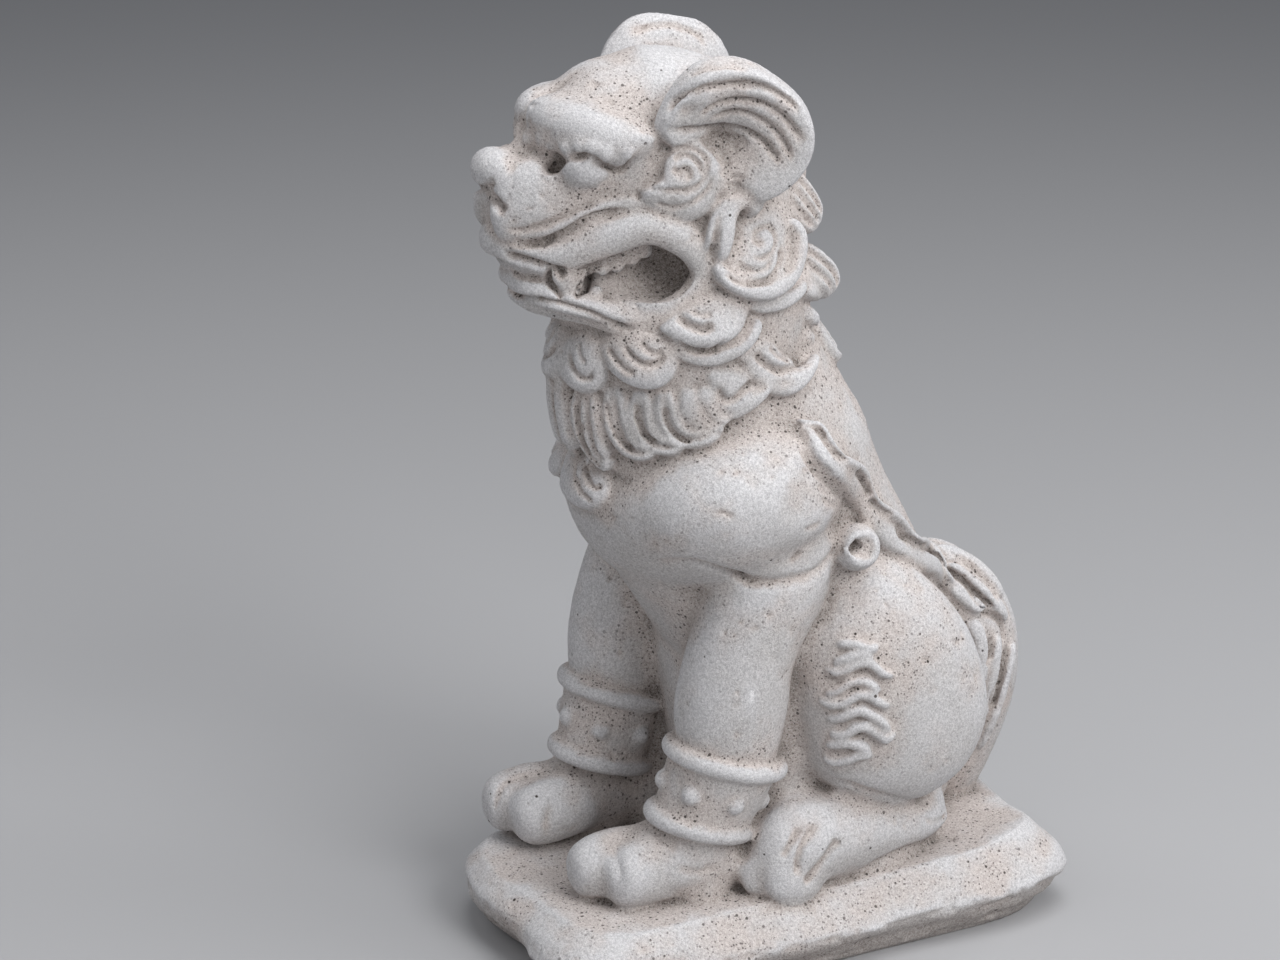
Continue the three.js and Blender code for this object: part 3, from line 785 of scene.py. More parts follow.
def hoop(leg, height, half, deep, back):
    """A ring round the leg: an ellipse square to the leg's own slope."""
    t = np.arange(72) / 72 * 2 * np.pi
    x = leg["x"] - leg["side"] * (BAND_TOP - height) / 8 + half * np.cos(t)
    y = leg_y(leg) + back + deep * np.sin(t)
    z = height + leg["lift"] - BAND_LEAN * deep * np.sin(t)
    return loop(np.stack([x, y, z, 0 * t + RING_THICK, 0 * t + RING_THICK], -1), across=UP), True


for leg, studs in ((LEFT_LEG, (-107, -51, 0, 58)), (RIGHT_LEG, (-135, -85, -35, 15))):
    details += [hoop(leg, BAND_TOP, 25, 26.5, 3), hoop(leg, BAND_BOTTOM, 21.5, 23, -8.5)]
    low = [leg["x"] - leg["side"] * 4.1, leg_y(leg) - 8.5, BAND_BOTTOM + leg["lift"], 22.5, 24]
    high = [leg["x"], leg_y(leg) + 3, BAND_TOP + leg["lift"], 26, 27.5]
    details += open_ended(column([low, high], rows=6))
    for degrees in studs:
        a = math.radians(degrees)
        middle = np.add(low, high) / 2
        x, y = middle[3] * math.cos(a), middle[4] * math.sin(a)
        reach = np.array([x, y, -BAND_LEAN * y])
        details += open_ended(egg(middle[:3] + reach * 0.9, [STUD_RADIUS] * 3))

print("with the anklets:", len(details), "forms")

# %% The strap on the back
def towards_eye(spots, share=1.0):
    """Spots whose outward direction leans to the camera, for forms that stand on a turning side."""
    return np.hstack([spots[:, :3], unit(spots[:, 3:] + share * backwards)])


def mirrored(*grids):
    """Grids and their mirror images across the lion's middle plane."""
    return open_ended(*grids, *[grid * [-1, 1, 1] for grid in grids])


# a flat strap, and the wavy crest along its upper edge
STRAP = [(797, 428), (808, 438), (818, 454), (832, 470), (845, 482), (855, 498), (866, 517), (880, 533),
         (895, 547), (912, 559), (928, 567), (940, 578), (949, 588)]
STRAP_WIDTHS = [1.5, 4, 6, 5, 6.5, 5, 6, 6.5, 6, 6.5, 6, 5, 3]
CREST = [(794, 420), (804, 425), (814, 432), (822, 447), (832, 460), (845, 467), (854, 475), (859, 488),
         (865, 500), (873, 509), (883, 516), (892, 525), (899, 536), (909, 544), (923, 549), (935, 558),
         (943, 570), (951, 584)]
CREST_WIDTHS = [1.5, 2.5, 2.5, 3, 2.2, 3, 2.2, 3, 2.4, 2.6]
strap = lock(towards_eye(seen(STRAP, clay_tree), 0.5), STRAP_WIDTHS, 7, 1, root=1)
crest = lock(towards_eye(seen(CREST, clay_tree), 0.5), CREST_WIDTHS, 11.5, 1, root=0.8)
details += mirrored(strap, crest)
print("strap:", len(strap), "rows; crest:", len(crest), "rows")

# %% The boss
BOSS = (852, 546)
boss = towards_eye(seen([BOSS], clay_tree))[0]
boss_out = unit(boss[3:])
boss_wide = unit(np.cross(boss_out, UP))
boss_high = np.cross(boss_wide, boss_out)


def boss_circle(radius, height, steps=48):
    """Places round the boss: middle + height * outward + radius * (wide * cos t + high * sin t)."""
    t = (np.arange(steps) / steps * 2 * np.pi)[:, None]
    return boss[:3] + height * boss_out + radius * (boss_wide * np.cos(t) + boss_high * np.sin(t))


rim = boss_circle(11.5, 4)
boss_disc = lobe(np.hstack([rim, np.tile(boss_out, (len(rim), 1))]), 7, sink=11, root=1, blunt=4)
boss_ring = loop(np.hstack([boss_circle(7, 11.5), np.full((48, 2), 2.6)]), across=boss_out)
details += mirrored(boss_disc)
details += [(boss_ring, True), (boss_ring * [-1, 1, 1], True)]
print("boss at", boss[:3].round(), "mm")

# %% The hair of the thigh and the tail
STRANDS = [
    [(838, 644), (855, 644), (868, 648), (878, 647)],
    [(833, 664), (848, 657), (861, 654), (873, 658)],
    [(826, 670), (838, 672), (850, 668), (860, 663), (871, 664), (881, 672), (893, 676)],
    [(826, 693), (838, 690), (850, 682), (861, 680), (871, 684), (879, 692)],
    [(820, 699), (832, 703), (845, 701), (855, 695), (867, 694), (878, 701), (888, 706)],
    [(828, 719), (842, 716), (852, 711), (862, 710), (873, 715), (882, 722), (889, 730)],
    [(830, 733), (845, 733), (855, 727), (865, 725), (876, 732), (885, 738), (894, 732)],
    [(827, 744), (840, 742), (851, 742), (862, 745), (869, 752)],
    [(824, 756), (836, 760), (848, 758), (860, 753), (872, 754)],
]
for strand in STRANDS:
    details += both(lock, strand, 2.5, 4.5, 1, root=0.8)

# the long hair of the tail, laid on the tail's own surface: path and half width
TAIL_LOCKS = [
    ([(938, 548), (956, 555), (974, 566), (989, 581), (1000, 596)], 3.8),
    ([(944, 559), (960, 570), (978, 586), (994, 604), (1004, 620)], 3.8),
    ([(946, 580), (958, 592), (971, 603), (983, 612)], 4),
    ([(1012, 640), (1009, 660), (1003, 680), (996, 703), (987, 726), (978, 748)], 3),
    ([(998, 636), (994, 658), (990, 680), (983, 704), (975, 728)], 3.2),
    ([(972, 622), (979, 640), (980, 664), (975, 690)], 4),
]
tail_tree = tree_of(shell_mesh("tail", open_ended(tail)))
for strand, width in TAIL_LOCKS:
    details += both(lock, strand, width, 4.5, 1, root=0.7, tree=tail_tree)
print("with the hair:", len(details), "forms")

# %% [markdown]
# ## The rock
# The lion sits on a slab that is cut to look like natural rock: a rounded rectangle from above, with
# sides that are different all round. It slopes up a little to the back, and one corner is raised.

# %% The base
ROCK_HALF_WIDE, ROCK_HALF_LONG, ROCK_MIDDLE_Y, ROCK_HEIGHT = 83, 144, 11.5, 39


def rock_base(rows=40, around=240):
    """The rock: a rounded rectangle |cos|**6 + |sin|**6 whose reach changes with the height, and
    differently on each of its four sides."""
    # the reach of each side at five heights, from the ground up
    sides = [[0.88, 0.95, 1.04, 0.95, 0.83], [0.93, 0.99, 1.02, 1.0, 0.94], [0.92, 0.98, 1.0, 0.98, 0.92],
             [0.87, 0.94, 0.99, 1.0, 0.93]]
    angle = np.arange(around) / around * 2 * np.pi
    reach = through(sides, angle / 2 / np.pi, closed=True)
    level = np.linspace(0, 1, rows)[:, None]
    reach = through(reach.T, level[:, 0])
    corner = (np.abs(np.cos(angle)) ** 6 + np.abs(np.sin(angle)) ** 6) ** (-1 / 6)
    uneven = 1 + 0.012 * np.sin(3 * angle + 0.6) + 0.01 * np.sin(7 * angle + 2)
    r = reach * corner * uneven
    x, y = ROCK_HALF_WIDE * r * np.cos(angle), ROCK_HALF_LONG * r * np.sin(angle) + ROCK_MIDDLE_Y
    z = ROCK_HEIGHT * level + 3 * level * r * np.sin(angle)
    z += 5 * level * np.exp(-(((x - 62) / 22) ** 2) - ((y - 132) / 24) ** 2)
    return np.stack([x, y, z], -1)


details += open_ended(rock_base())
print("mane and details:", len(mane) + len(details), "forms")

# %% [markdown]
# ## One fine skin, and the lines cut into it
# Everything is joined a second time in much smaller steps, so that the laid-on forms keep their
# edges. Then lines are cut as with a wire tool: the points near a drawn line sink in, most on the
# line itself. That needs no new edges in the mesh, and the depth of each cut is one number.

# %% The fine skin
FINE_STEP = 1.1


def together(name, *meshes):
    """Several meshes as one."""
    points, faces, start = [], [], 0
    for mesh in meshes:
        points.append(points_of(mesh))
        faces += [[v + start for v in p.vertices] for p in mesh.polygons]
        start += len(mesh.vertices)
    whole = bpy.data.meshes.new(name)
    whole.from_pydata((np.concatenate(points) * MM).tolist(), [], faces)
    return whole


statue_mesh = remeshed(together("statue", clay, shell_mesh("details", details + mane)), FINE_STEP)
put_points(statue_mesh, smoothed(statue_mesh, points_of(statue_mesh), 2))
print("fine skin:", len(statue_mesh.polygons), "faces")

# %% A cut along a line
BROAD_CUT = 2.2


def carve(points, normals, spots, width, depth, reach=9, step=0.8):
    """Sinks every point near a drawn line by depth * exp(-(d / width) ** 2), where d is its
    distance beside the line. The cut fades at both ends, a broad one over more of its length."""
    length = np.linalg.norm(np.diff(spots[:, :3], axis=0), axis=1).sum()
    share = np.linspace(0, 1, max(int(length / step), 4))
    path = through(spots, share)
    line, out = path[:, :3], unit(path[:, 3:])
    margin = 3 * width + 3
    near = np.flatnonzero(((points > line.min(0) - margin) & (points < line.max(0) + margin)).all(1))
    apart = points[near][:, None] - line
    above = (apart * out).sum(-1)
    beside = np.sqrt(((apart**2).sum(-1) - above**2).clip(0))
    nearest = (beside + 0.2 * np.abs(above)).argmin(1)
    rows = np.arange(len(near))
    d, up = beside[rows, nearest], above[rows, nearest]
    facing = (normals[near] * out[nearest]).sum(-1)
    ending = 0.4 if width > BROAD_CUT else 0.12
    fade = np.clip(np.minimum(share, 1 - share) / ending, 0, 1)[nearest]
    sink = depth * np.exp(-((d / width) ** 2)) * fade * (np.abs(up) < reach) * (facing > -0.2)
    points[near] -= normals[near] * sink[:, None]

# %% The lines of the head
# each line: places of the view, half width and depth
HEAD_LINES = [
    # ridges of the upper lip
    ([(509, 231), (526, 230), (546, 224), (564, 216), (580, 208), (600, 201)], 1.4, 2.4),
    ([(512, 246), (540, 243), (554, 237), (572, 227), (584, 220), (600, 214), (632, 210)], 1.5, 3),
    # between the lips at the front, and under the lower lip
    ([(502, 255), (519, 259), (537, 265), (556, 271), (566, 276)], 2.2, 5),
    ([(507, 266), (516, 274), (527, 279), (546, 281)], 1.2, 1.5),
    ([(505, 284), (513, 293), (531, 300), (557, 303), (575, 308), (592, 314), (615, 325),
      (640, 330)], 1.7, 4),
    # on both sides of the fang
    ([(548, 267), (549, 279), (555, 290), (564, 299)], 1.3, 3.5),
    ([(589, 267), (588, 280), (584, 292), (575, 299)], 1.3, 3.5),
    # under the brow, the dark inner corner of the eye, the nostril and the nose
    ([(532, 152), (546, 160), (558, 163), (572, 161)], 2.6, 5),
    ([(566, 159), (577, 157), (590, 157), (601, 163), (613, 170), (625, 166), (635, 152)], 1.4, 2.6),
    ([(543, 160), (552, 165), (560, 171)], 4, 6),
    ([(487, 185), (490, 194), (496, 203), (505, 213)], 2.2, 4.5),
    ([(470, 185), (478, 189), (487, 187), (495, 180)], 1.8, 2),
    ([(505, 155), (511, 165), (507, 178)], 2.5, 1.5),
    # grooves of the ear
    ([(668, 115), (672, 104), (682, 95), (700, 89), (720, 86), (742, 84), (762, 86), (777, 92),
      (792, 102), (804, 115)], 1.6, 3.2),
    ([(700, 117), (709, 109), (722, 103), (738, 100), (756, 102), (771, 108), (786, 120), (796, 132),
      (803, 143)], 1.6, 2.8),
    ([(712, 120), (728, 113), (744, 113), (760, 119), (774, 130), (785, 144), (792, 160)], 1.5, 2.6),
    ([(665, 129), (688, 130), (706, 129), (725, 127), (740, 129), (752, 134), (763, 142),
      (772, 152), (780, 163)], 1.7, 3.2),
    ([(698, 135), (714, 134), (730, 139), (744, 149)], 5, 3),
    ([(676, 118), (688, 111), (698, 111)], 3.5, 1.5),
    ([(690, 75), (703, 70), (727, 67), (750, 70)], 1.5, 1),
    ([(717, 147), (725, 155), (727, 167), (722, 178)], 1.2, 1.2),
    ([(725, 178), (735, 177), (746, 178)], 1.1, 1.2),
    ([(723, 185), (733, 184), (743, 186)], 1.1, 1.2),
    # the scroll on the cheek
    ([(674, 161), (679, 156), (687, 155), (695, 159), (701, 167), (704, 177)], 1.2, 2.6),
    ([(672, 168), (678, 172), (686, 170), (690, 175), (685, 181)], 1.1, 2),
    ([(650, 189), (668, 191), (684, 191), (697, 187), (706, 177), (708, 164), (702, 153), (690, 148),
      (677, 149), (667, 156)], 1.2, 2.2),
    ([(654, 202), (668, 207), (684, 206), (698, 199), (709, 188), (714, 174)], 1.2, 2),
]
print("head:", len(HEAD_LINES), "lines")

# %% The lines of the body
BODY_LINES = [
    # between the long locks
    ([(577, 400), (577, 420), (583, 440), (592, 456)], 1.2, 2),
    ([(606, 400), (610, 422), (621, 441), (634, 451)], 1.2, 2),
    ([(636, 402), (638, 420), (646, 436), (658, 442)], 1.2, 2),
    ([(664, 405), (668, 425), (680, 438), (692, 442)], 1.2, 2),
    # the crescents in the curls
    ([(568, 352), (571, 366), (578, 376), (587, 379), (594, 373)], 1.3, 2.6),
    ([(578, 342), (580, 356), (586, 364)], 1.2, 1.4),
    ([(608, 347), (615, 359), (624, 369), (636, 374)], 1.3, 2.2),
    ([(624, 345), (631, 356), (643, 364), (656, 363), (666, 355)], 1.4, 3),
    ([(640, 340), (647, 350), (656, 354), (664, 351)], 1.3, 2),
    ([(676, 316), (688, 324), (702, 329), (714, 326)], 2, 3.4),
    ([(690, 310), (702, 315), (712, 313)], 1.6, 1.6),
    ([(676, 340), (690, 349), (706, 351), (722, 347)], 1.2, 2),
    ([(724, 272), (740, 281), (758, 283), (772, 277), (780, 262), (782, 244)], 1.6, 3),
    ([(736, 262), (750, 270), (765, 269), (774, 258)], 1.5, 2),
    ([(752, 256), (764, 258), (774, 250), (776, 236), (768, 227), (757, 231), (757, 241),
      (765, 245)], 1.4, 2.2),
    # under the breast, and behind the shoulder
    ([(648, 566), (670, 562), (697, 563), (724, 572), (748, 581), (780, 582), (812, 574), (832, 553),
      (846, 528)], 2.6, 4),
    ([(800, 650), (812, 632), (828, 610), (834, 585), (832, 562)], 3, 2.5),
    # the furrow above the back cord
    ([(818, 427), (828, 442), (838, 454), (851, 461)], 1.6, 2.6),
    ([(858, 470), (864, 483), (870, 497)], 1.6, 2.6),
    ([(870, 499), (880, 509), (893, 516)], 1.6, 2.6),
    ([(896, 528), (907, 538), (927, 545)], 1.6, 2.6),
    ([(934, 552), (944, 563), (953, 576)], 1.6, 2.6),
    # the slit in the boss
    ([(851, 554), (856, 547), (861, 541)], 2.2, 6),
    # the lower edges of the back cord and of the thigh
    ([(800, 447), (812, 465), (826, 482), (840, 500)], 1.8, 2),
    ([(813, 771), (838, 781), (862, 789), (902, 800), (930, 798)], 2.4, 2.2),
    ([(820, 889), (850, 878), (880, 862), (910, 848), (935, 836), (948, 822)], 2.4, 2.5),
    # the creases between the hind toes
    ([(800, 828), (791, 843), (782, 858)], 1.7, 2.4),
    ([(816, 824), (805, 842), (799, 858), (798, 876)], 1.7, 2.6),
    ([(838, 838), (827, 857), (816, 871), (804, 884)], 2, 2.6),
    ([(924, 819), (937, 821), (947, 815)], 1.4, 1.2),
    # the hair of the tail
    ([(941, 552), (958, 561), (976, 574), (991, 588), (1001, 602)], 1.4, 2.6),
    ([(946, 568), (962, 580), (980, 596), (994, 609)], 1.4, 2.6),
    ([(975, 612), (992, 616), (1002, 626), (1004, 642)], 1.6, 2),
    ([(1007, 645), (1002, 668), (997, 690), (990, 708)], 1.5, 2.8),
    ([(990, 636), (989, 652), (987, 668)], 1.6, 1.6),
    # the hollows of the flame tufts
    ([(718, 386), (723, 398), (733, 400), (745, 390), (756, 380)], 1.8, 3),
    ([(755, 352), (766, 364), (780, 371), (793, 368), (802, 358)], 2, 3.5),
    ([(770, 346), (780, 356), (792, 360)], 1.6, 2),
]
print("body:", len(BODY_LINES), "lines")

# %% What isn't the same on both flanks
SINGLE_LINES = [
    # the fold of the far ear, and the clefts of the paws
    ([(630, 36), (645, 28), (662, 25), (680, 27), (696, 34), (708, 46)], 1.9, 1.6),
    ([(612, 834), (615, 856), (619, 878), (620, 902)], 3, 2),
    ([(552, 796), (547, 820), (545, 842)], 3, 2),
    ([(494, 812), (498, 794), (507, 782), (532, 775)], 1.7, 1.8),
    ([(676, 868), (700, 872), (720, 866)], 2, 1.2),
    # dents and nicks of the breast
    ([(794, 436), (778, 456), (757, 482), (748, 492)], 9, 1.8),
    ([(826, 462), (806, 482), (792, 508), (780, 520)], 8, 1.5),
    ([(612, 474), (622, 480), (632, 483)], 1.6, 1.2),
    ([(718, 512), (726, 514), (734, 517)], 0.9, 1.2),
    ([(818, 486), (827, 492), (834, 497)], 1.1, 1.3),
    ([(822, 498), (829, 503), (836, 506)], 1.1, 1.2),
    ([(790, 561), (796, 556), (801, 551)], 1.2, 2),
    ([(804, 530), (812, 527), (820, 523)], 1, 1.2),
]
# drawn on one pendant curl, and cut into its twin too
PENDANT_ARCS = [
    ([(576, 460), (575, 479), (582, 494), (591, 501)], 1.2, 2.2),
    ([(585, 458), (587, 476), (594, 487), (603, 486)], 1.3, 2.6),
]
print("one flank only:", len(SINGLE_LINES), "lines")

# %% Cutting the lines
fine_tree = tree_of(statue_mesh)
points, normals = points_of(statue_mesh), normals_of(statue_mesh)
for drawn, twice, head in (
    (BODY_LINES, True, False), (HEAD_LINES, True, True), (SINGLE_LINES, False, False),
):
    for places, width, depth in drawn:
        spots = seen(places, fine_tree)
        carve(points, normals, spots, width, depth)
        if twice:
            carve(points, normals, opposite(spots, fine_tree, head), width, depth)
for places, width, depth in PENDANT_ARCS:
    spots = seen(places, fine_tree)
    carve(points, normals, spots, width, depth)
    twin = [fine_tree.find_nearest(Vector([beside - x, y, z])) for x, y, z in spots[:, :3]]
    carve(points, normals, np.array([spot(hit) for hit in twin]), width, depth)
between_brows = round_neck([(-7, 442), (-7, 432), (-7, 422), (-7, 412)], fine_tree)
carve(points, normals, between_brows, 4, 3)
put_points(statue_mesh, points)
print("the surface reaches up to", points[:, 2].max().round(1), "mm")

# %% [markdown]
# ## The flaws of the cast
# No cast is even. Cement settles in slow waves, the sand leaves a grain, air bubbles leave pits, and
# the rock was chopped into rough ledges. All of it is smooth random noise at several sizes, always
# from the same seeds. Then Decimate takes away the triangles that the shape doesn't need.

# %% Unevenness
def noise(points, size, seed):
    """Smooth noise from -1 to 1: random numbers on a lattice with steps of `size` millimetres,
    blended between the eight corners round a point by 3 f ** 2 - 2 f ** 3."""
    table = np.random.default_rng(seed).uniform(-1, 1, (32, 32, 32))
    q = points / size + 512
    i = np.floor(q).astype(int)
    f = q - i
    f = f * f * (3 - 2 * f)
    total = np.zeros(len(points))
    for corner in np.ndindex(2, 2, 2):
        x, y, z = ((i + corner) % 32).T
        total += table[x, y, z] * np.where(corner, f, 1 - f).prod(1)
    return total


def rising(values, low, high):
    """0 below `low`, 1 above `high`, smooth between."""
    t = ((values - low) / (high - low)).clip(0, 1)
    return t * t * (3 - 2 * t)


# height, size and seed of the waves in the cement
WAVES = [(0.38, 19, 1), (0.16, 8, 2), (0.09, 3.4, 3)]
# height of the rock's ledges, what is added low down, size and seed
LEDGES = [(1, 1.8, [45, 45, 6], 8), (0.5, 1.1, [15, 15, 4], 9), (0.3, 0.5, [4, 4, 4], 10)]
PIT_DEPTH = 0.8
normals = normals_of(statue_mesh)
rock, low_down = 1 - rising(points[:, 2], 38, 43), 1 - rising(points[:, 2], 16, 30)
sideways = 1 - normals[:, 2].clip(-1, 1) ** 2
waves = sum(high * noise(points, size, seed) for high, size, seed in WAVES)
rough_patches = rising(noise(points, 26, 4), 0.0, 0.5)
waves += rough_patches * 0.18 * noise(points, 2.4, 5)
pits = rising(noise(points, 3.1, 6), 0.62, 0.8) * rising(noise(points, 17, 7), -0.3, 0.4)
ledges = sum((high + more * low_down) * noise(points, np.array(size), seed)
             for high, more, size, seed in LEDGES)
lift = waves - PIT_DEPTH * pits + rock * sideways * ledges
# nothing moves at the very bottom, which stays flat
lift *= rising(points[:, 2], 0.5, 4)
points += normals * lift[:, None]
points[:, 2] = points[:, 2].clip(0)
put_points(statue_mesh, points)
print("cast flaws, from", lift.min().round(2), "to", lift.max().round(2), "mm")

# %% Fewer triangles
MOST_TRIANGLES = 190000


def largest_body(mesh, name):
    """The mesh without small loose bodies. Each point takes the lowest number among its
    neighbours until nothing changes, so that a body's points end with one number."""
    a, b = read(mesh.edges, "vertices", 2, np.int32).T
    label, before = np.arange(len(mesh.vertices)), None
    while before is None or (label != before).any():
        before = label.copy()
        np.minimum.at(label, a, before[b])
        np.minimum.at(label, b, before[a])
        label = label[label]
    kept = label == np.bincount(label).argmax()
    corners = read(mesh.loops, "vertex_index", 1, np.int32).reshape(-1, 3)
    number = np.cumsum(kept) - 1
    body = bpy.data.meshes.new(name)
    faces = number[corners[kept[corners[:, 0]]]]
    body.from_pydata((points_of(mesh)[kept] * MM).tolist(), [], faces.tolist())
    return body


triangles = sum(len(p.vertices) - 2 for p in statue_mesh.polygons)
fewer = changed(statue_mesh, "DECIMATE", ratio=MOST_TRIANGLES / triangles, use_collapse_triangulate=True)
statue_mesh = largest_body(fewer, "lion_statue")
statue_mesh.polygons.foreach_set("use_smooth", np.ones(len(statue_mesh.polygons), bool))
print("piece:", len(statue_mesh.polygons), "triangles")

# %% [markdown]
# ## Cast cement
# Grey cement with pale sand, a beige pink dust in the hollows and on the rock, and everywhere tiny
# dark pits. Light and shade are painted into the colour as well: a pale bluish painted highlight on
# the upper faces and edges, and painted shade in the hollows, in the mouth and on the rock's foot.
# Two measures of the shape are kept on the piece's points for this: how deep a place lies below its
# neighbourhood, and how much it faces up.

# %% Measures of the shape
# the inside of a mouth corner, on the head before it is turned
MOUTH_MIDDLE, MOUTH_RADII = [38, -78, 352], [16, 44, 13]
points, normals = points_of(statue_mesh), normals_of(statue_mesh)
# a point counts as hollow when it lies deep below its surroundings, near by or farther round
around_near, around_far = smoothed(statue_mesh, points, 6), smoothed(statue_mesh, points, 40)
hollow = ((around_near - points) * normals).sum(1) / 0.5 + ((around_far - points) * normals).sum(1) / 1.6
straight = turned(points, -HEAD_TURN)
straight[:, 0] = np.abs(straight[:, 0])
from_mouth = np.linalg.norm((straight - MOUTH_MIDDLE) / MOUTH_RADII, axis=1)
# and so does the whole inside of the mouth, so that it takes the painted shade and the dust of the
# hollows
hollow += 1.8 * (1 - rising(from_mouth, 0.7, 1.1))
hollow = smoothed(statue_mesh, hollow[:, None], 3)[:, 0]
facing_up = smoothed(statue_mesh, normals, 4)[:, 2]
for name, values in (("hollow", hollow), ("facing_up", facing_up)):
    attribute = statue_mesh.attributes.new(name, "FLOAT", "POINT")
    attribute.data.foreach_set("value", values.astype(np.float32))
    print(name, np.percentile(values, [2, 25, 50, 75, 98]).round(2))

# %% A way to write materials
class Paint:
    """A socket of a material. Sums, differences and products of it add Math nodes."""

    tree = None

    def __init__(self, socket):
        self.socket = socket

    @classmethod
    def node(cls, kind, settings, values, output=0):
        """A new node: its settings first, then the values or links of its sockets."""
        made = cls.tree.nodes.new(kind)
        for name, value in settings.items():
            setattr(made, name, value)
        for name, value in values.items():
            if isinstance(value, Paint):
                cls.tree.links.new(value.socket, made.inputs[name])
            else:
                made.inputs[name].default_value = value
        return cls(made.outputs[output])

    @classmethod
    def math(cls, operation, a, b):
        """A Math node on two values."""
        return cls.node("ShaderNodeMath", {"operation": operation}, {0: a, 1: b})

    def __add__(self, other):
        return self.math("ADD", self, other)

    def __sub__(self, other):
        return self.math("SUBTRACT", self, other)

    def __mul__(self, other):
        return self.math("MULTIPLY", self, other)

    def __rsub__(self, other):
        return self.math("SUBTRACT", other, self)

    __radd__, __rmul__ = __add__, __mul__

    def step(self, low, high):
        """0 below `low`, 1 above `high`, smooth between."""
        return self.node("ShaderNodeMapRange", {"interpolation_type": "SMOOTHSTEP"},
                         {"Value": self, "From Min": low, "From Max": high})


def mixed(share, below, above):
    """A colour `share` of the way from one colour to the other."""
    return Paint.node("ShaderNodeMix", {"data_type": "RGBA"}, {0: share, 6: below, 7: above}, output=2)

# %% Cement
cement = bpy.data.materials.new("cast_cement")
cement.use_nodes = True
Paint.tree = cement.node_tree
shader = cement.node_tree.nodes["Principled BSDF"]
place = Paint.node("ShaderNodeTexCoord", {}, {}, output=3)


def grain(size, detail=2.0, roughness=0.5):
    """Noise whose features are about `size` millimetres, from 0 to 1."""
    return Paint.node("ShaderNodeTexNoise", {}, {
        "Vector": place, "Scale": 1 / (size * MM), "Detail": detail, "Roughness": roughness})


def dots(cell, radius):
    """Round dots, at most one in each cell of about `cell` millimetres. The widest is `radius` of a
    cell, and each cell's own random number takes up to nine tenths off it."""
    pattern = {"Vector": place, "Scale": 1 / (cell * MM)}
    distance = Paint.node("ShaderNodeTexVoronoi", {}, pattern)
    tint = Paint.node("ShaderNodeTexVoronoi", {}, pattern, output=1)
    chance = Paint.node("ShaderNodeSeparateColor", {}, {"Color": tint})
    return 1 - (distance + 0.9 * radius * chance).step(radius * 0.65, radius)


def measure(name):
    """A measure of the shape that is kept on the piece's points."""
    return Paint.node("ShaderNodeAttribute", {"attribute_name": name}, {}, output=2)

# %% The colours of the cement
GREY = (0.46, 0.445, 0.445, 1)
# a pale bluish grey for the painted highlight on upper faces and edges
HIGHLIGHT_PALE = (0.57, 0.57, 0.595, 1)
DUST = (0.50, 0.42, 0.385, 1)
# the colours of painted shade: shaded hollows, and the deepest hollows
SHADED = (0.27, 0.23, 0.21, 1)
DEEP_SHADE = (0.13, 0.10, 0.085, 1)
PIT = (0.06, 0.05, 0.045, 1)
DARK_SAND, PALE_SAND = (0.16, 0.135, 0.12, 1), (1, 0.97, 0.94, 1)
in_hollow, up = measure("hollow"), measure("facing_up")
cloud, sand, fine_sand = grain(28, 3), grain(1.1, 1), grain(0.55, 0)
# a painted highlight on upper faces and convex edges, with pale patches at random; where dust stays; and
# the painted shade of a hollow, and how deep it is
highlight_and_pale_patches = (0.6 * up - 0.25 * in_hollow + 0.6 * (cloud - 0.5)).step(-0.1, 0.7)
worn = ((cloud - 0.5) * 2.2 + 0.28 * in_hollow + 0.25 * up).step(-0.55, 0.3)
shaded, deep = in_hollow.step(0, 2.2), in_hollow.step(1.3, 3.0)
# painted shade on the undercut side of the rock, close to the ground, where it faces down
ground = Paint.node("ShaderNodeSeparateXYZ", {}, {"Vector": place}, output=2)
ground_shade = (1 - ground.step(0.008, 0.03)) * (0.25 - up).step(0, 0.6)
colour = mixed(highlight_and_pale_patches, GREY, HIGHLIGHT_PALE)
colour = mixed(worn * 0.75, colour, DUST)
# painted shade in the hollows, on the rock's foot near the ground, and darkest in the deepest hollows
colour = mixed(shaded * 0.8, colour, SHADED)
colour = mixed(ground_shade * 0.85, colour, SHADED)
colour = mixed(deep * 0.9, colour, DEEP_SHADE)
# single grains of sand
darker, paler = mixed(0.3, colour, DARK_SAND), mixed(0.3, colour, PALE_SAND)
colour = mixed((fine_sand - 0.5) * 1.4 + (grain(1.3, 1) - 0.5) * 1.6 + 0.5, darker, paler)

# %% The pits, and the finished cement
small_pits = dots(1.6, 0.42) * (0.1 + 0.9 * worn)
middle_pits = dots(3.2, 0.3) * (0.2 + 0.8 * worn)
large_pits = dots(9, 0.13) * grain(20, 1).step(0.4, 0.6)
pitted = small_pits * 0.75 + middle_pits * 0.9 + large_pits * 0.95
colour = mixed(pitted, colour, PIT)
height = 0.5 * sand + 0.5 * fine_sand + 0.15 * grain(3, 2) - 1.4 * pitted
bump = Paint.node("ShaderNodeBump", {}, {"Strength": 0.5, "Distance": 0.0005, "Height": height})
cement.node_tree.links.new(colour.socket, shader.inputs["Base Color"])
cement.node_tree.links.new((0.86 + 0.12 * sand).socket, shader.inputs["Roughness"])
cement.node_tree.links.new(bump.socket, shader.inputs["Normal"])
shader.inputs["Specular IOR Level"].default_value = 0.3
statue_mesh.materials.append(cement)
print("cement:", len(cement.node_tree.nodes), "nodes")

# %% The piece
statue = added("lion_statue", statue_mesh)
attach(statue, "root")
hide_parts("guardian_lion")
print("piece:", statue.name)

# %% [markdown]
# ## Floor and light
# A plain grey floor shows where the statue stands. The light is soft, as under an open sky: large
# round lamps from above and behind for the pale upper faces, and weak ones in front, so that the
# hollows under the breast, between the legs and in the mouth stay dark.

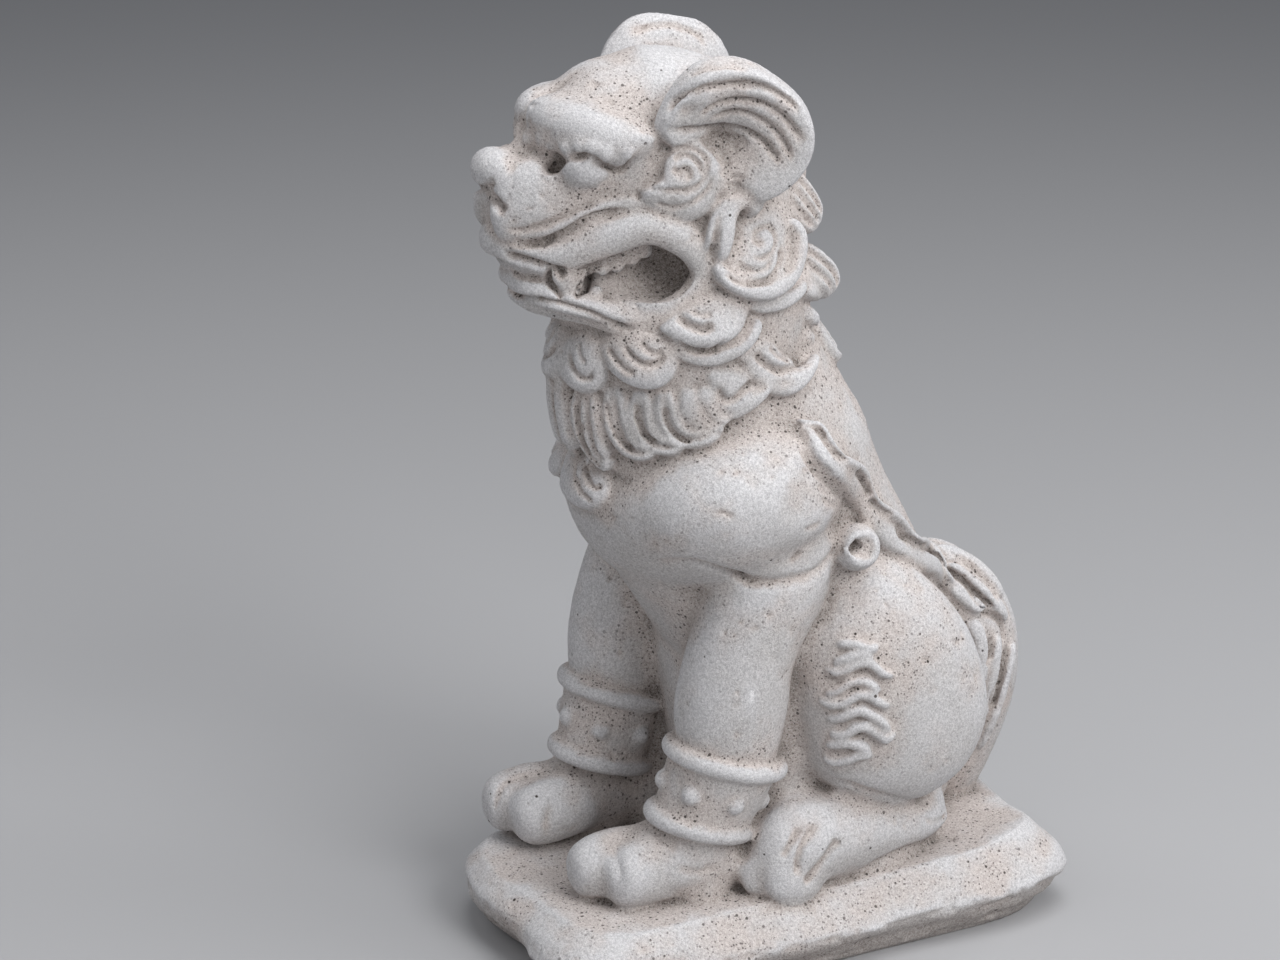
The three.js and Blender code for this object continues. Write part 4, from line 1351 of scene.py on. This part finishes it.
# %% Floor and light
FLOOR_HALF, FLOOR_GREY = 4, (0.42, 0.42, 0.43, 1)
SKY_LOW, SKY_HIGH = (0.03, 0.03, 0.03, 1), (0.23, 0.24, 0.26, 1)
LIGHTS_AIM = Vector((0, 0, 0.2))
corners = [(x * FLOOR_HALF, y * FLOOR_HALF, 0) for x, y in [(-1, -1), (1, -1), (1, 1), (-1, 1)]]
floor_mesh = bpy.data.meshes.new("floor")
floor_mesh.from_pydata(corners, [], [(0, 1, 2, 3)])
floor = added("floor", floor_mesh)
floor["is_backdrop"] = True
floor_paint = bpy.data.materials.new("floor_grey")
floor_paint.use_nodes = True
floor_shader = floor_paint.node_tree.nodes["Principled BSDF"]
floor_shader.inputs["Base Color"].default_value = FLOOR_GREY
floor_shader.inputs["Roughness"].default_value = 0.9
floor_mesh.materials.append(floor_paint)
world = bpy.data.worlds.new("studio")
bpy.context.scene.world = world
world.use_nodes = True
Paint.tree = world.node_tree
direction = Paint.node("ShaderNodeTexCoord", {}, {}, output=0)
height = Paint.node("ShaderNodeSeparateXYZ", {}, {"Vector": direction}, output=2)
sky = mixed(height.step(-0.1, 0.9), SKY_LOW, SKY_HIGH)
world.node_tree.links.new(sky.socket, world.node_tree.nodes["Background"].inputs["Color"])
bpy.context.scene.view_settings.view_transform = "Standard"
# name, place, width and watts of each lamp
LAMPS = [
    ("top_light", (0.4, 0.2, 2.2), 1.6, 25),
    ("left_light", (1.8, 0.4, 1.5), 1.2, 26),
    ("near_light", (1.3, -1.0, 0.8), 1.4, 4),
    ("front_light", (0.2, -1.8, 1.5), 1.4, 2.5),
    ("right_light", (-1.2, -1.0, 1.6), 1.4, 5),
    ("back_light", (1.0, 1.5, 1.4), 1.2, 9),
]
for name, where, size, energy in LAMPS:
    lamp_data = bpy.data.lights.new(name, "AREA")
    lamp_data.shape, lamp_data.size, lamp_data.energy = "DISK", size, energy
    lamp = added(name, lamp_data)
    lamp.location = where
    lamp.rotation_euler = (LIGHTS_AIM - lamp.location).to_track_quat("-Z", "Y").to_euler()
    print(name, energy, "watts")

# %% Size, for comparison with the CAD box
low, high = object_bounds()
print("visual box in metres:", [round(v, 4) for v in low], [round(v, 4) for v in high])
